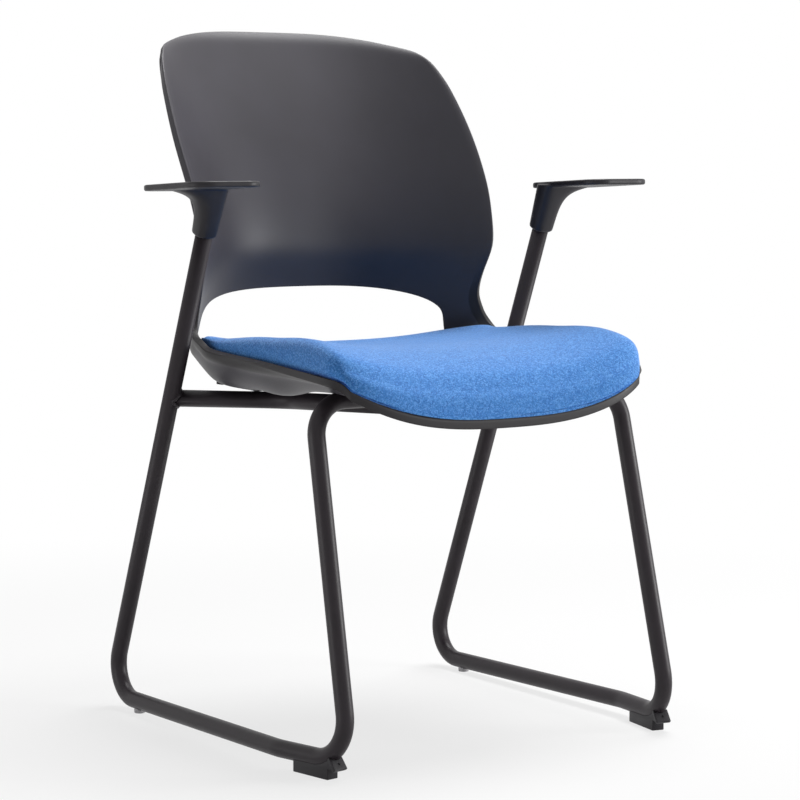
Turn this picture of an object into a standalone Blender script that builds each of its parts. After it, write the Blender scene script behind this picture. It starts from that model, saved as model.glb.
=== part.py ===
"""Sled-base visitor armchair: a one-piece moulded seat and back on a bent steel tube frame.

Metres, +Z up, the floor at z = 0. The sitter faces -Y. Left and right are as seen from the front.
"""

import math

import bmesh
import bpy
from mathutils import Matrix, Vector

# Clearances
FIT_GAP = 0.0003
BOLT_CLEARANCE = 0.0004

# Frame tube
TUBE_RADIUS = 0.010
TUBE_WALL = 0.002
TUBE_BEVEL_STEPS = 4
BEND_STEPS = 8

# Rear leg and arm post, one straight run that leans forward
POST_OUTSET = 0.023
REAR_CORNER_Y = 0.242
REAR_AXIS_Z = 0.0125
POST_LEAN = 0.412
POST_TOP_DROP = 0.0075
REAR_BEND_RADIUS = 0.039

# Runner and front leg
KINK_OUTSET = 0.0025
KINK_Y = -0.160
KINK_RADIUS = 0.080
FRONT_CORNER_INSET = 0.0171
FRONT_CORNER_Y = -0.274
FRONT_AXIS_Z = 0.0216
FRONT_LEAN_BACK = 0.2427
FRONT_LEAN_IN = 0.029
FRONT_BEND_RADIUS = 0.043
CROSS_BAR_Z = 0.404
TOP_BEND_RADIUS = 0.042
HALF_JOINT_GAP = 0.0003

# Sleeve inside the cross bar
SLEEVE_LENGTH = 0.080
SLEEVE_WALL = 0.002

# Seat rails
RAIL_DROP = 0.0215
RAIL_LEG_RISE = 0.0055
RAIL_ELBOW_SHARE = 0.5197
RAIL_ELBOW_Y = 0.046
RAIL_FRONT_DROP = 0.009
RAIL_BEND_RADIUS = 0.050

# Tabs and bolts that carry the shell
TAB_THICKNESS = 0.004
TAB_WIDTH = 0.028
TAB_LENGTH = 0.038
TAB_LEAD = 0.004
FRONT_TAB_SHARE = 0.4872
REAR_TAB_SHARE = 0.6032
TAB_BOLT_OFFSET = 0.022
BOLT_RADIUS = 0.003
BOLT_HEAD_RADIUS = 0.0055
BOLT_HEAD_HEIGHT = 0.0035
WASHER_RADIUS = 0.0075
WASHER_THICKNESS = 0.0012
NUT_BARREL_RADIUS = 0.0042
NUT_FLANGE_RADIUS = 0.009
NUT_FLANGE_THICKNESS = 0.0013

# Shell
SHELL_WALL = 0.005
RIM_THICKNESS = 0.0085
LIP_THICKNESS = 0.0145
FLANK_THICKNESS = 0.0075
SEAT_HALF_WIDTH = 0.2155
LIP_Y = -0.253
LIP_DROP = 0.0395
SEAT_REAR_Y = 0.154
SEAT_REAR_RISE = 0.0274
RIM_RISE = 0.0404
FLANK_SAG = 0.014
OPENING_HALF_SHARE = 0.862
OPENING_SIDE_Z = 0.460
OPENING_RISE = 0.0485
BACK_FOOT_Z = 0.479
BACK_CORNER_Z = 0.797
BACK_TOP_Z = 0.825
INNER_COLUMNS = (0, 0.16, 0.32, 0.47, 0.6, 0.71, 0.78, 0.825)
SHELL_COLUMNS = INNER_COLUMNS + (OPENING_HALF_SHARE, 0.895, 0.93, 0.965, 0.985, 1)
FRONT_ROWS = (0, 0.02, 0.05, 0.1, 0.15, 0.2, 0.25, 0.31, 0.38)
REAR_ROWS = (0.46, 0.55, 0.64, 0.73, 0.8, 0.86, 0.91, 0.955, 1)
SEAT_ROWS = FRONT_ROWS + REAR_ROWS
BACK_ROWS = 14
BRIDGE_ROWS = 3

# Seat pad
COVER_THICKNESS = 0.002
BOARD_THICKNESS = 0.005
PAD_RISE = 0.032
PAD_FLANK_RISE = 0.036
COVER_EDGE_SHARE = 0.985
COVER_FRONT_SHARE = 0.02
COVER_REAR_SHARE = 0.955
FOAM_EDGE_SHARE = 0.93
FOAM_FRONT_SHARE = 0.10
FOAM_REAR_SHARE = 0.91
BOARD_EDGE_SHARE = 0.89
BOARD_FRONT_SHARE = 0.15
BOARD_REAR_SHARE = 0.91

# Armrests
PAD_TOP_Z = 0.6405
PAD_TILT = math.radians(2.7)
PAD_THICKNESS = 0.007
PAD_OUTWARD = 0.078
PAD_INWARD = 0.012
PAD_FORWARD = 0.098
PAD_REARWARD = 0.041
PAD_CORNER_RADIUS = 0.024
STEM_LENGTH = 0.0505
STEM_HALF_WIDTH = 0.0138
STEM_HALF_DEPTH = 0.0138
STEM_TAPER = 0.0025
STEM_CHAMFER = 0.0018
STEM_FLARE = ((0, 0), (0.4, 0.0005), (0.6, 0.003), (0.75, 0.0085), (0.86, 0.018), (0.94, 0.032), (1, 0.048))
ARM_SCREW_RISE = 0.020
ARM_SCREW_RADIUS = 0.002
ARM_SCREW_HEAD_RADIUS = 0.004
ARM_SCREW_HEAD_HEIGHT = 0.0022

# Front feet, along the kinked end of the runner
FOOT_WIDTH = 0.0155
FOOT_REAR = 0.0838
FOOT_FRONT = 0.0274
FOOT_GRIP = 0.0025
LUG_ANGLE = math.radians(38.6)
LUG_REACH = 0.0132
LUG_WIDTH = 0.019
LUG_THICKNESS = 0.0038
LUG_UNDERCUT = 0.002
DIMPLE_RADIUS = 0.0016
DIMPLE_DEPTH = 0.0012
DIMPLE_REACH = 0.0062
FOOT_SCREW_PLACE = 0.066
FOOT_SCREW_RECESS = 0.002
FOOT_SCREW_RADIUS = 0.0018
FOOT_SCREW_HEAD_RADIUS = 0.0035
FOOT_SCREW_HEAD_HEIGHT = 0.0018
FOOT_SCREW_BITE = 0.0045

# Rear glides
GLIDE_Y = 0.168
GLIDE_RADIUS = 0.0068
GLIDE_CHAMFER = 0.0012
GLIDE_GRIP = 0.0025
GLIDE_PEG_RADIUS = 0.003
GLIDE_PEG_HEIGHT = 0.006

# Stacking bumpers under the rear corners of the seat
BUMPER_COLUMNS = (0.745, 0.79)
BUMPER_ROWS = (0.875, 0.905)
BUMPER_DROP = 0.0037

# Values that follow from those above
POST_X = SEAT_HALF_WIDTH + POST_OUTSET
KINK_X = POST_X + KINK_OUTSET
FRONT_CORNER_X = POST_X - FRONT_CORNER_INSET
RAIL_ELBOW_X = SEAT_HALF_WIDTH * RAIL_ELBOW_SHARE
FRONT_TAB_X = SEAT_HALF_WIDTH * FRONT_TAB_SHARE
REAR_TAB_X = SEAT_HALF_WIDTH * REAR_TAB_SHARE
PAD_UNDERSIDE_Z = PAD_TOP_Z - PAD_THICKNESS
POST_TOP_Z = PAD_UNDERSIDE_Z - POST_TOP_DROP
STEM_BOTTOM_Z = PAD_UNDERSIDE_Z - STEM_LENGTH
ARM_SCREW_Z = STEM_BOTTOM_Z + ARM_SCREW_RISE
RAIL_Z = CROSS_BAR_Z - RAIL_DROP
RAIL_FRONT_Z = CROSS_BAR_Z - RAIL_FRONT_DROP
RAIL_LEG_Z = RAIL_Z + RAIL_LEG_RISE
RAIL_TAB_SHARE = (REAR_TAB_X + 0.7 * TAB_WIDTH - RAIL_ELBOW_X) / (POST_X - RAIL_ELBOW_X)
RAIL_TOP_Z = RAIL_Z + RAIL_LEG_RISE * RAIL_TAB_SHARE + TUBE_RADIUS
CROSS_BAR_TOP_Z = CROSS_BAR_Z + TUBE_RADIUS
TAB_STACK = FIT_GAP + TAB_THICKNESS + FIT_GAP + SHELL_WALL
FLOOR_Z = RAIL_TOP_Z + TAB_STACK
CREST_Z = CROSS_BAR_TOP_Z + TAB_STACK
FRONT_LEG_HEIGHT = CROSS_BAR_Z - FRONT_AXIS_Z
CROSS_BAR_X = FRONT_CORNER_X - FRONT_LEAN_IN * FRONT_LEG_HEIGHT
CROSS_BAR_Y = FRONT_CORNER_Y + FRONT_LEAN_BACK * FRONT_LEG_HEIGHT
LIP_Z = CREST_Z - LIP_DROP
BUMPER_BOTTOM_Z = FLOOR_Z - BUMPER_DROP


# The scene starts empty
for old in list(bpy.data.objects):
    bpy.data.objects.remove(old)

PARTS = bpy.data.collections.new("sled_base_armchair")
CUTTERS = bpy.data.collections.new("cutters")
for group in (PARTS, CUTTERS):
    bpy.context.scene.collection.children.link(group)

ROOT = bpy.data.objects.new("armchair_origin", None)
PARTS.objects.link(ROOT)


def finish(name, colour, roughness, metallic=0.0):
    """A plain material with the piece's colour."""
    made = bpy.data.materials.new(name)
    made.use_nodes = True
    shader = made.node_tree.nodes["Principled BSDF"]
    shader.inputs["Base Color"].default_value = (*colour, 1)
    shader.inputs["Roughness"].default_value = roughness
    shader.inputs["Metallic"].default_value = metallic
    return made


SHELL_PLASTIC = finish("charcoal_polypropylene", (0.035, 0.034, 0.037), 0.55)
BLACK_PLASTIC = finish("black_moulded_plastic", (0.018, 0.017, 0.019), 0.5)
GREY_PLASTIC = finish("grey_glide_plastic", (0.35, 0.35, 0.36), 0.6)
POWDER_COAT = finish("black_powder_coat", (0.02, 0.019, 0.02), 0.45)
BLUE_CLOTH = finish("blue_melange_cloth", (0.03, 0.18, 0.6), 0.9)
FOAM = finish("moulded_foam", (0.75, 0.68, 0.45), 0.95)
BOARD = finish("moulded_board", (0.3, 0.2, 0.11), 0.8)
ZINC = finish("zinc_plated_steel", (0.6, 0.6, 0.6), 0.35, 1.0)
RUBBER = finish("black_rubber", (0.02, 0.02, 0.02), 0.8)


def place_object(name, mesh, material):
    """A visible piece of the chair."""
    made = bpy.data.objects.new(name, mesh)
    mesh.materials.clear()
    mesh.materials.append(material)
    PARTS.objects.link(made)
    made.parent = ROOT
    return made


def place_cutter(name, mesh):
    """A helper that only cuts or joins."""
    made = bpy.data.objects.new(name, mesh)
    CUTTERS.objects.link(made)
    made.parent = ROOT
    made.hide_render = True
    made.display_type = "WIRE"
    return made


def combine(piece, tool, operation):
    """Cuts a tool from a piece, or joins it on."""
    change = piece.modifiers.new(f"{operation.lower()}_{tool.name}", "BOOLEAN")
    change.operation = operation
    change.object = tool
    change.solver = "EXACT"


def mesh_from(name, bm):
    """A finished mesh with its faces pointing out."""
    bmesh.ops.remove_doubles(bm, verts=bm.verts[:], dist=0.000001)
    bmesh.ops.recalc_face_normals(bm, faces=bm.faces[:])
    mesh = bpy.data.meshes.new(name)
    bm.to_mesh(mesh)
    bm.free()
    return mesh


def smooth(piece, angle=40):
    piece.data.shade_smooth()
    piece.data.set_sharp_from_angle(angle=math.radians(angle))


def mesh_from_curve(name, curve):
    """The mesh of a curve, with its loose caps welded on."""
    guide = bpy.data.objects.new(name, curve)
    bpy.context.scene.collection.objects.link(guide)
    graph = bpy.context.evaluated_depsgraph_get()
    mesh = bpy.data.meshes.new_from_object(guide.evaluated_get(graph))
    bpy.data.objects.remove(guide)
    bm = bmesh.new()
    bm.from_mesh(mesh)
    bpy.data.meshes.remove(mesh)
    return mesh_from(name, bm)


def bent_path(corners, radii):
    """A run of tube through the corners, each inner corner rounded to its bend radius."""
    path = [corners[0]]
    for before, corner, after, radius in zip(corners, corners[1:], corners[2:], radii):
        incoming = (before - corner).normalized()
        outgoing = (after - corner).normalized()
        turn = math.pi - incoming.angle(outgoing)
        tangent = radius * math.tan(turn / 2)
        centre = corner + (incoming + outgoing).normalized() * (radius / math.cos(turn / 2))
        start = corner + incoming * tangent - centre
        axis = incoming.cross(outgoing)
        steps = max(2, round(BEND_STEPS * turn / math.radians(105)))
        for step in range(steps + 1):
            path.append(centre + Matrix.Rotation(-turn * step / steps, 3, axis) @ start)
    path.append(corners[-1])
    return path


def tube_mesh(name, path, radius, capped):
    """A round tube along a path. Without caps it is an open skin."""
    curve = bpy.data.curves.new(name, "CURVE")
    curve.dimensions = "3D"
    curve.bevel_depth = radius
    curve.bevel_resolution = TUBE_BEVEL_STEPS
    curve.use_fill_caps = capped
    spline = curve.splines.new("POLY")
    spline.points.add(len(path) - 1)
    for point, spot in zip(spline.points, path):
        point.co = (*spot, 1)
    return mesh_from_curve(name, curve)


def hollow_tube(name, path, radius, wall, material):
    """A steel tube, open at both ends."""
    piece = place_object(name, tube_mesh(name, path, radius, False), material)
    thickness = piece.modifiers.new("wall", "SOLIDIFY")
    thickness.thickness = wall
    thickness.offset = -1
    thickness.use_even_offset = True
    smooth(piece)
    return piece


def turned_mesh(name, profile, steps=16):
    """Turns a profile of (radius, height) points about Z."""
    bm = bmesh.new()
    spots = [bm.verts.new((radius, 0, height)) for radius, height in profile]
    edges = [bm.edges.new(pair) for pair in zip(spots, spots[1:])]
    bmesh.ops.spin(bm, geom=spots + edges, cent=(0, 0, 0), axis=(0, 0, 1), angle=math.tau, steps=steps)
    return mesh_from(name, bm)


def turned_copies(names, profile, places, material):
    """Like turned pieces that share one mesh, each at its own place."""
    mesh = turned_mesh(names[0], profile)
    for name, place in zip(names, places):
        piece = place_object(name, mesh, material)
        piece.matrix_local = place
        smooth(piece)


def turned_cutters(name, profile, places):
    """Like turned cutters, each at its own place."""
    mesh = turned_mesh(name, profile)
    cutters = []
    for place in places:
        cutter = place_cutter(name, mesh)
        cutter.matrix_local = place
        cutters.append(cutter)
    return cutters


def flat_outline(name, outline, half_thickness):
    """A closed flat outline in XY, filled and given thickness along Z."""
    curve = bpy.data.curves.new(name, "CURVE")
    curve.dimensions = "2D"
    curve.fill_mode = "BOTH"
    curve.extrude = half_thickness
    spline = curve.splines.new("POLY")
    spline.points.add(len(outline) - 1)
    for point, (across, along) in zip(spline.points, outline):
        point.co = (across, along, 0, 1)
    spline.use_cyclic_u = True
    return mesh_from_curve(name, curve)


def box_mesh(name, low, high, bevel=0.0):
    """A box between two corners, with its edges broken."""
    bm = bmesh.new()
    bmesh.ops.create_cube(bm, size=1)
    size = Vector(high) - Vector(low)
    middle = (Vector(high) + Vector(low)) / 2
    bmesh.ops.scale(bm, vec=size, verts=bm.verts)
    bmesh.ops.translate(bm, vec=middle, verts=bm.verts)
    if bevel:
        bmesh.ops.bevel(bm, geom=bm.edges[:], offset=bevel, segments=1, affect="EDGES")
    return mesh_from(name, bm)


def along(stations, spot):
    """A smooth value between hand-set stations, each a (place, value) pair."""
    places = [place for place, _ in stations]
    values = [value for _, value in stations]
    spot = min(max(spot, places[0]), places[-1])
    index = max(i for i, place in enumerate(places[:-1]) if place <= spot)
    step = places[index + 1] - places[index]
    share = (spot - places[index]) / step

    def slope(i):
        first = max(i - 1, 0)
        last = min(i + 1, len(places) - 1)
        return (values[last] - values[first]) / (places[last] - places[first]) * step

    start, end = values[index], values[index + 1]
    rise = end - start
    return (
        start
        + slope(index) * share
        + (3 * rise - 2 * slope(index) - slope(index + 1)) * share**2
        + (slope(index) + slope(index + 1) - 2 * rise) * share**3
    )


# Seat surface: stations run from the front lip, at 0, to the rear edge, at 1
SEAT_DEPTH = SEAT_REAR_Y - LIP_Y
SEAT_CENTRE_Y = (
    (0, LIP_Y),
    (0.1, LIP_Y + 0.0246 * SEAT_DEPTH),
    (0.2, LIP_Y + 0.0835 * SEAT_DEPTH),
    (1, SEAT_REAR_Y),
)
SEAT_CENTRE_Z = (
    (0, LIP_Z),
    (0.1, LIP_Z + 0.253 * LIP_DROP),
    (0.2, CREST_Z - 0.2405 * LIP_DROP),
    (0.25, CREST_Z),
    (0.31, CREST_Z + 0.0101 * LIP_DROP),
    (0.38, CREST_Z + 0.0051 * LIP_DROP),
    (0.44, CREST_Z - 0.0506 * LIP_DROP),
    (0.52, FLOOR_Z + 0.365 * SEAT_REAR_RISE),
    (0.66, FLOOR_Z + 0.0803 * SEAT_REAR_RISE),
    (0.73, FLOOR_Z + 0.011 * SEAT_REAR_RISE),
    (0.8, FLOOR_Z + 0.011 * SEAT_REAR_RISE),
    (0.86, FLOOR_Z + 0.0438 * SEAT_REAR_RISE),
    (0.94, FLOOR_Z + 0.4088 * SEAT_REAR_RISE),
    (1, FLOOR_Z + SEAT_REAR_RISE),
)
SEAT_EDGE_X = (
    (0, 0.9211 * SEAT_HALF_WIDTH),
    (0.1, 0.9629 * SEAT_HALF_WIDTH),
    (0.22, SEAT_HALF_WIDTH),
    (1, 0.972 * SEAT_HALF_WIDTH),
)
SEAT_EDGE_Y = (
    (0, LIP_Y + 0.0344 * SEAT_DEPTH),
    (0.1, LIP_Y + 0.059 * SEAT_DEPTH),
    (0.2, LIP_Y + 0.1032 * SEAT_DEPTH),
    (0.5, LIP_Y + 0.4054 * SEAT_DEPTH),
    (0.8, SEAT_REAR_Y - 0.2899 * SEAT_DEPTH),
    (0.9, SEAT_REAR_Y - 0.2432 * SEAT_DEPTH),
    (1, SEAT_REAR_Y - 0.2088 * SEAT_DEPTH),
)
SEAT_EDGE_Z = (
    (0, LIP_Z + 0.8911 * RIM_RISE),
    (0.1, FLOOR_Z + 0.6163 * RIM_RISE),
    (0.2, FLOOR_Z + 0.7153 * RIM_RISE),
    (0.5, FLOOR_Z + 0.9505 * RIM_RISE),
    (0.8, FLOOR_Z + 1.099 * RIM_RISE),
    (0.9, FLOOR_Z + 1.2475 * RIM_RISE),
    (1, FLOOR_Z + 1.3713 * RIM_RISE),
)
SEAT_PLAN_ROUNDNESS = ((0, 6.0), (1, 7.6))
SEAT_TRAY_FLATNESS = ((0, 2.8), (0.2, 4.0), (0.4, 9.0), (0.6, 14.0), (0.85, 12.5), (1, 5.5))


def flank_sag(share, back):
    """How far the tray's flank hangs below the even sweep of its floor, between the bar and the rails."""
    sideways = max(1 - ((share - 0.8) / 0.2) ** 2, 0) ** 2
    lengthwise = max(1 - ((back - 0.43) / 0.17) ** 2, 0) ** 2
    return FLANK_SAG * sideways * lengthwise


def seat_point(across, back):
    """A point of the seat's upper face. across runs from -1 to 1, back from 0 at the lip to 1."""
    share = abs(across)
    plan = share ** along(SEAT_PLAN_ROUNDNESS, back)
    tray = share ** along(SEAT_TRAY_FLATNESS, back)
    centre_y = along(SEAT_CENTRE_Y, back)
    centre_z = along(SEAT_CENTRE_Z, back)
    return Vector((
        across * along(SEAT_EDGE_X, back),
        centre_y + (along(SEAT_EDGE_Y, back) - centre_y) * plan,
        centre_z + (along(SEAT_EDGE_Z, back) - centre_z) * tray - flank_sag(share, back),
    ))


# Back surface: stations run up from the opening to the top edge
BACK_WRAP_WIDTH = 0.205
BACK_CENTRE_Y = (
    (OPENING_SIDE_Z, 0.199),
    (0.510, 0.190),
    (0.557, 0.1765),
    (0.615, 0.185),
    (0.714, 0.219),
    (BACK_TOP_Z, 0.268),
)
BACK_WRAP = ((OPENING_SIDE_Z, 0.112), (0.525, 0.1205), (0.614, 0.108), (0.697, 0.0895), (BACK_TOP_Z, 0.076))
BACK_ROUNDNESS = ((OPENING_SIDE_Z, 3.3), (BACK_TOP_Z, 2.6))
BACK_EDGE_X = (
    (BACK_FOOT_Z, 0.2005),
    (0.525, 0.1965),
    (0.585, 0.2055),
    (0.641, 0.2113),
    (0.697, 0.2122),
    (0.754, 0.2063),
    (0.777, 0.2005),
    (0.789, 0.1955),
    (BACK_CORNER_Z, 0.188),
)
OPENING_ROUNDNESS = 2.6
TOP_FALL = (
    (0, 0),
    (0.3, 0.015),
    (0.5, 0.09),
    (0.7, 0.28),
    (0.85, 0.525),
    (0.93, 0.69),
    (0.97, 0.81),
    (1, 1),
)


def back_point(across, up):
    """A point of the back's front face. up runs from 0 at the opening to 1 at the top edge."""
    share = abs(across)
    inside = min(share / OPENING_HALF_SHARE, 1)
    outside = max(share - OPENING_HALF_SHARE, 0) / (1 - OPENING_HALF_SHARE)
    arch = (1 - inside**OPENING_ROUNDNESS) ** (1 / OPENING_ROUNDNESS)
    low = OPENING_SIDE_Z + OPENING_RISE * arch + (BACK_FOOT_Z - OPENING_SIDE_Z) * outside
    high = BACK_TOP_Z - (BACK_TOP_Z - BACK_CORNER_Z) * along(TOP_FALL, share)
    edge_z = BACK_FOOT_Z + (BACK_CORNER_Z - BACK_FOOT_Z) * up
    x = across * along(BACK_EDGE_X, edge_z)
    z = low + (high - low) * up
    wrap = (abs(x) / BACK_WRAP_WIDTH) ** along(BACK_ROUNDNESS, z)
    return Vector((x, along(BACK_CENTRE_Y, z) - along(BACK_WRAP, z) * wrap, z))


def rim_share(across, back, up):
    """How much of the rim's extra thickness a point has: 1 on an edge of the shell, 0 inside."""
    side = max((abs(across) - 0.89) / 0.11, 0)
    front = max(1 - back / 0.12, 0) if up is None else 0
    rear = max((back - 0.93) / 0.07, 0) if up is None else 0
    top = max((up - 0.93) / 0.07, 0) if up is not None else 0
    foot = max(1 - up / 0.06, 0) if up is not None else 0
    return max(side, front, rear, top, foot)


def seat_wall(across, back):
    """The tray's wall, which is thicker where the floor turns up into the flanks."""
    flank = max(1 - abs(abs(across) - 0.87) / 0.13, 0) * min(back / 0.3, 1, (1 - back) / 0.1)
    return SHELL_WALL + (FLANK_THICKNESS - SHELL_WALL) * flank


def sheet_solid(bm, rows, columns, upper, lower, opening=None):
    """A closed solid between two sheets over one grid of rows and columns, less the opening's cells."""
    sheet = [[bm.verts.new(upper[row][column]) for column in range(columns)] for row in range(rows)]
    for row in range(rows - 1):
        for column in range(columns - 1):
            if opening and opening(row, column):
                continue
            bm.faces.new((
                sheet[row][column],
                sheet[row][column + 1],
                sheet[row + 1][column + 1],
                sheet[row + 1][column],
            ))
    for spot in [spot for line in sheet for spot in line if not spot.link_faces]:
        bm.verts.remove(spot)
    bm.normal_update()
    place = {}
    for row in range(rows):
        for column in range(columns):
            spot = sheet[row][column]
            if spot.is_valid:
                place[spot] = lower(row, column, spot.co.copy(), spot.normal.copy())
    made = bmesh.ops.extrude_face_region(bm, geom=bm.faces[:], use_keep_orig=True)
    copies = [part for part in made["geom"] if isinstance(part, bmesh.types.BMVert)]
    by_spot = {tuple(spot.co): target for spot, target in place.items()}
    for spot in copies:
        spot.co = by_spot[tuple(spot.co)]


def bridged(before, low, high, after, step):
    """A point between the seat's rear edge and the back's foot, in line with the rows on both sides."""
    reach = (high - low).length
    start = (low - before).normalized() * reach
    end = (after - high).normalized() * reach
    return (
        low * (2 * step**3 - 3 * step**2 + 1)
        + start * (step**3 - 2 * step**2 + step)
        + high * (3 * step**2 - 2 * step**3)
        + end * (step**3 - step**2)
    )


def seat_back_shell():
    """The moulded shell: seat tray, two uprights beside the opening, and the back."""
    half = SHELL_COLUMNS
    across = [-share for share in reversed(half[1:])] + list(half)
    lines = []
    for back in SEAT_ROWS:
        lines.append([(seat_point(share, back), rim_share(share, back, None), back) for share in across])
    seat_lines = len(lines)
    for row in range(BACK_ROWS + 1):
        up = (row / BACK_ROWS) ** 1.15
        lines.append([(back_point(share, up), rim_share(share, 1, up), None) for share in across])
    bridge = []
    for row in range(BRIDGE_ROWS):
        step = (row + 1) / (BRIDGE_ROWS + 1)
        line = []
        for column, share in enumerate(across):
            near = [lines[seat_lines + place][column][0] for place in (-2, -1, 0, 1)]
            line.append((bridged(*near, step), 1 if abs(share) in (OPENING_HALF_SHARE, 1) else 0.3, None))
        bridge.append(line)
    lines[seat_lines:seat_lines] = bridge

    def opening(row, column):
        centre = (across[column] + across[column + 1]) / 2
        in_bridge = seat_lines - 1 <= row < seat_lines + BRIDGE_ROWS
        return in_bridge and abs(centre) < OPENING_HALF_SHARE

    def lower(row, column, spot, normal):
        _, rim, back = lines[row][column]
        wall = SHELL_WALL
        edge = RIM_THICKNESS
        inward = -normal
        if back is not None:
            wall = seat_wall(across[column], back)
            lip = max(1 - back / 0.12, 0)
            edge += (LIP_THICKNESS - RIM_THICKNESS) * lip * (1 - 0.4 * abs(across[column]) ** 4)
            inward = inward.lerp(Vector((0, 0, -1)), lip).normalized()
        return spot + inward * (wall + (edge - wall) * rim)

    bm = bmesh.new()
    upper = [[point for point, _, _ in line] for line in lines]
    sheet_solid(bm, len(lines), len(across), upper, lower, opening)
    return place_object("seat_back_shell", mesh_from("seat_back_shell", bm), SHELL_PLASTIC)


# Seat pad: how high its crown stands at the centre, and how much higher its flanks rise
PAD_CROWN_Z = (
    (0, LIP_Z + 0.0625 * PAD_RISE),
    (0.1, LIP_Z + 0.8125 * PAD_RISE),
    (0.2, CREST_Z + 0.4063 * PAD_RISE),
    (0.3, CREST_Z + 0.8906 * PAD_RISE),
    (0.4, CREST_Z + PAD_RISE),
    (0.52, CREST_Z + 0.8906 * PAD_RISE),
    (0.66, CREST_Z + 0.79 * PAD_RISE),
    (0.8, CREST_Z + 0.6875 * PAD_RISE),
    (0.9, CREST_Z + 0.6875 * PAD_RISE),
    (0.96, CREST_Z + 0.375 * PAD_RISE),
    (1, CREST_Z + 0.1875 * PAD_RISE),
)
PAD_FLANK_SHARE = ((0, 1), (0.1, 1.08), (0.2, 0.9), (0.3, 0.76), (0.6, 0.77), (0.8, 0.556), (1, 0.611))
PAD_EDGE_ROUNDNESS = 16
PAD_EDGE_SOFTNESS = 0.4


def pad_top(across, back):
    """A point of the seat pad's upper face."""
    base = seat_point(across, back)
    share = abs(across)
    crown = along(PAD_CROWN_Z, back) + PAD_FLANK_RISE * along(PAD_FLANK_SHARE, back) * share**2.5
    fall = (1 - share**PAD_EDGE_ROUNDNESS) ** PAD_EDGE_SOFTNESS
    edge = along(SEAT_EDGE_Z, back)
    height = edge + (crown - edge) * fall
    return Vector((base.x, base.y, max(height, base.z + COVER_THICKNESS + 2 * FIT_GAP)))


def pad_layer(name, edge, front, rear, top, bottom, material):
    """One layer of the pad, between an upper and a lower sheet over the shell's own grid."""
    half = [share for share in SHELL_COLUMNS if share <= edge]
    columns = [-share for share in reversed(half[1:])] + half
    rows = [back for back in SEAT_ROWS if front <= back <= rear]
    upper = [[top(across, back) for across in columns] for back in rows]

    def lower(row, column, _, __):
        border = row in (0, len(rows) - 1) or column in (0, len(columns) - 1)
        return bottom(columns[column], rows[row], border)

    bm = bmesh.new()
    sheet_solid(bm, len(rows), len(columns), upper, lower)
    piece = place_object(name, mesh_from(name, bm), material)
    smooth(piece, 60)
    return piece


def lifted(point, rise):
    return point + Vector((0, 0, rise))


def seat_cover():
    """The cloth skin of the pad. Its edge turns down to the tray."""

    def bottom(across, back, border):
        floor = lifted(seat_point(across, back), FIT_GAP)
        inner = lifted(pad_top(across, back), -COVER_THICKNESS)
        return floor if border or inner.z < floor.z else inner

    borders = (COVER_EDGE_SHARE, COVER_FRONT_SHARE, COVER_REAR_SHARE)
    return pad_layer("seat_cover", *borders, pad_top, bottom, BLUE_CLOTH)


def board_top(across, back):
    return lifted(seat_point(across, back), FIT_GAP + BOARD_THICKNESS)


def seat_foam():
    """The moulded foam between the board and the cover."""

    def top(across, back):
        return lifted(pad_top(across, back), -COVER_THICKNESS - FIT_GAP)

    def bottom(across, back, border):
        return lifted(board_top(across, back), FIT_GAP)

    return pad_layer("seat_foam", FOAM_EDGE_SHARE, FOAM_FRONT_SHARE, FOAM_REAR_SHARE, top, bottom, FOAM)


def seat_board():
    """The thin moulded board that carries the foam and the nuts."""

    def bottom(across, back, border):
        return lifted(seat_point(across, back), FIT_GAP)

    borders = (BOARD_EDGE_SHARE, BOARD_FRONT_SHARE, BOARD_REAR_SHARE)
    return pad_layer("seat_board", *borders, board_top, bottom, BOARD)


def post_y(height):
    """Where the rear leg's axis is at a height."""
    return REAR_CORNER_Y - POST_LEAN * (height - REAR_AXIS_Z)


def side_corners(side, extra_top=0.0, extra_middle=0.0):
    """The corners of one half of the frame, from the arm post's top to the middle of the cross bar."""
    top = POST_TOP_Z + extra_top
    share = (REAR_CORNER_Y - KINK_Y) / (REAR_CORNER_Y - FRONT_CORNER_Y)
    kink_z = REAR_AXIS_Z + (FRONT_AXIS_Z - REAR_AXIS_Z) * share
    return [
        Vector((side * POST_X, post_y(top), top)),
        Vector((side * POST_X, REAR_CORNER_Y, REAR_AXIS_Z)),
        Vector((side * KINK_X, KINK_Y, kink_z)),
        Vector((side * FRONT_CORNER_X, FRONT_CORNER_Y, FRONT_AXIS_Z)),
        Vector((side * CROSS_BAR_X, CROSS_BAR_Y, CROSS_BAR_Z)),
        Vector((side * (HALF_JOINT_GAP - extra_middle), CROSS_BAR_Y, CROSS_BAR_Z)),
    ]


SIDE_RADII = (REAR_BEND_RADIUS, KINK_RADIUS, FRONT_BEND_RADIUS, TOP_BEND_RADIUS)
SIDES = (("left", -1), ("right", 1))


def tube_room(name, side):
    """A solid a fit gap fatter than the side tube, to cut the pieces that seat on it."""
    corners = side_corners(side, FIT_GAP, FIT_GAP)
    path = bent_path(corners, SIDE_RADII)
    room = tube_mesh(f"{name}_tube_room", path, TUBE_RADIUS + FIT_GAP, True)
    return place_cutter(f"{name}_tube_room", room)


def seat_rail(name, side, room):
    """The rail under the seat, coped on the rear leg and on the cross bar."""
    corners = [
        Vector((side * POST_X, post_y(RAIL_LEG_Z), RAIL_LEG_Z)),
        Vector((side * RAIL_ELBOW_X, RAIL_ELBOW_Y, RAIL_Z)),
        Vector((side * RAIL_ELBOW_X, CROSS_BAR_Y, RAIL_FRONT_Z)),
    ]
    path = bent_path(corners, (RAIL_BEND_RADIUS,))
    rail = hollow_tube(f"{name}_seat_rail", path, TUBE_RADIUS, TUBE_WALL, POWDER_COAT)
    combine(rail, room, "DIFFERENCE")
    return rail


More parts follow.
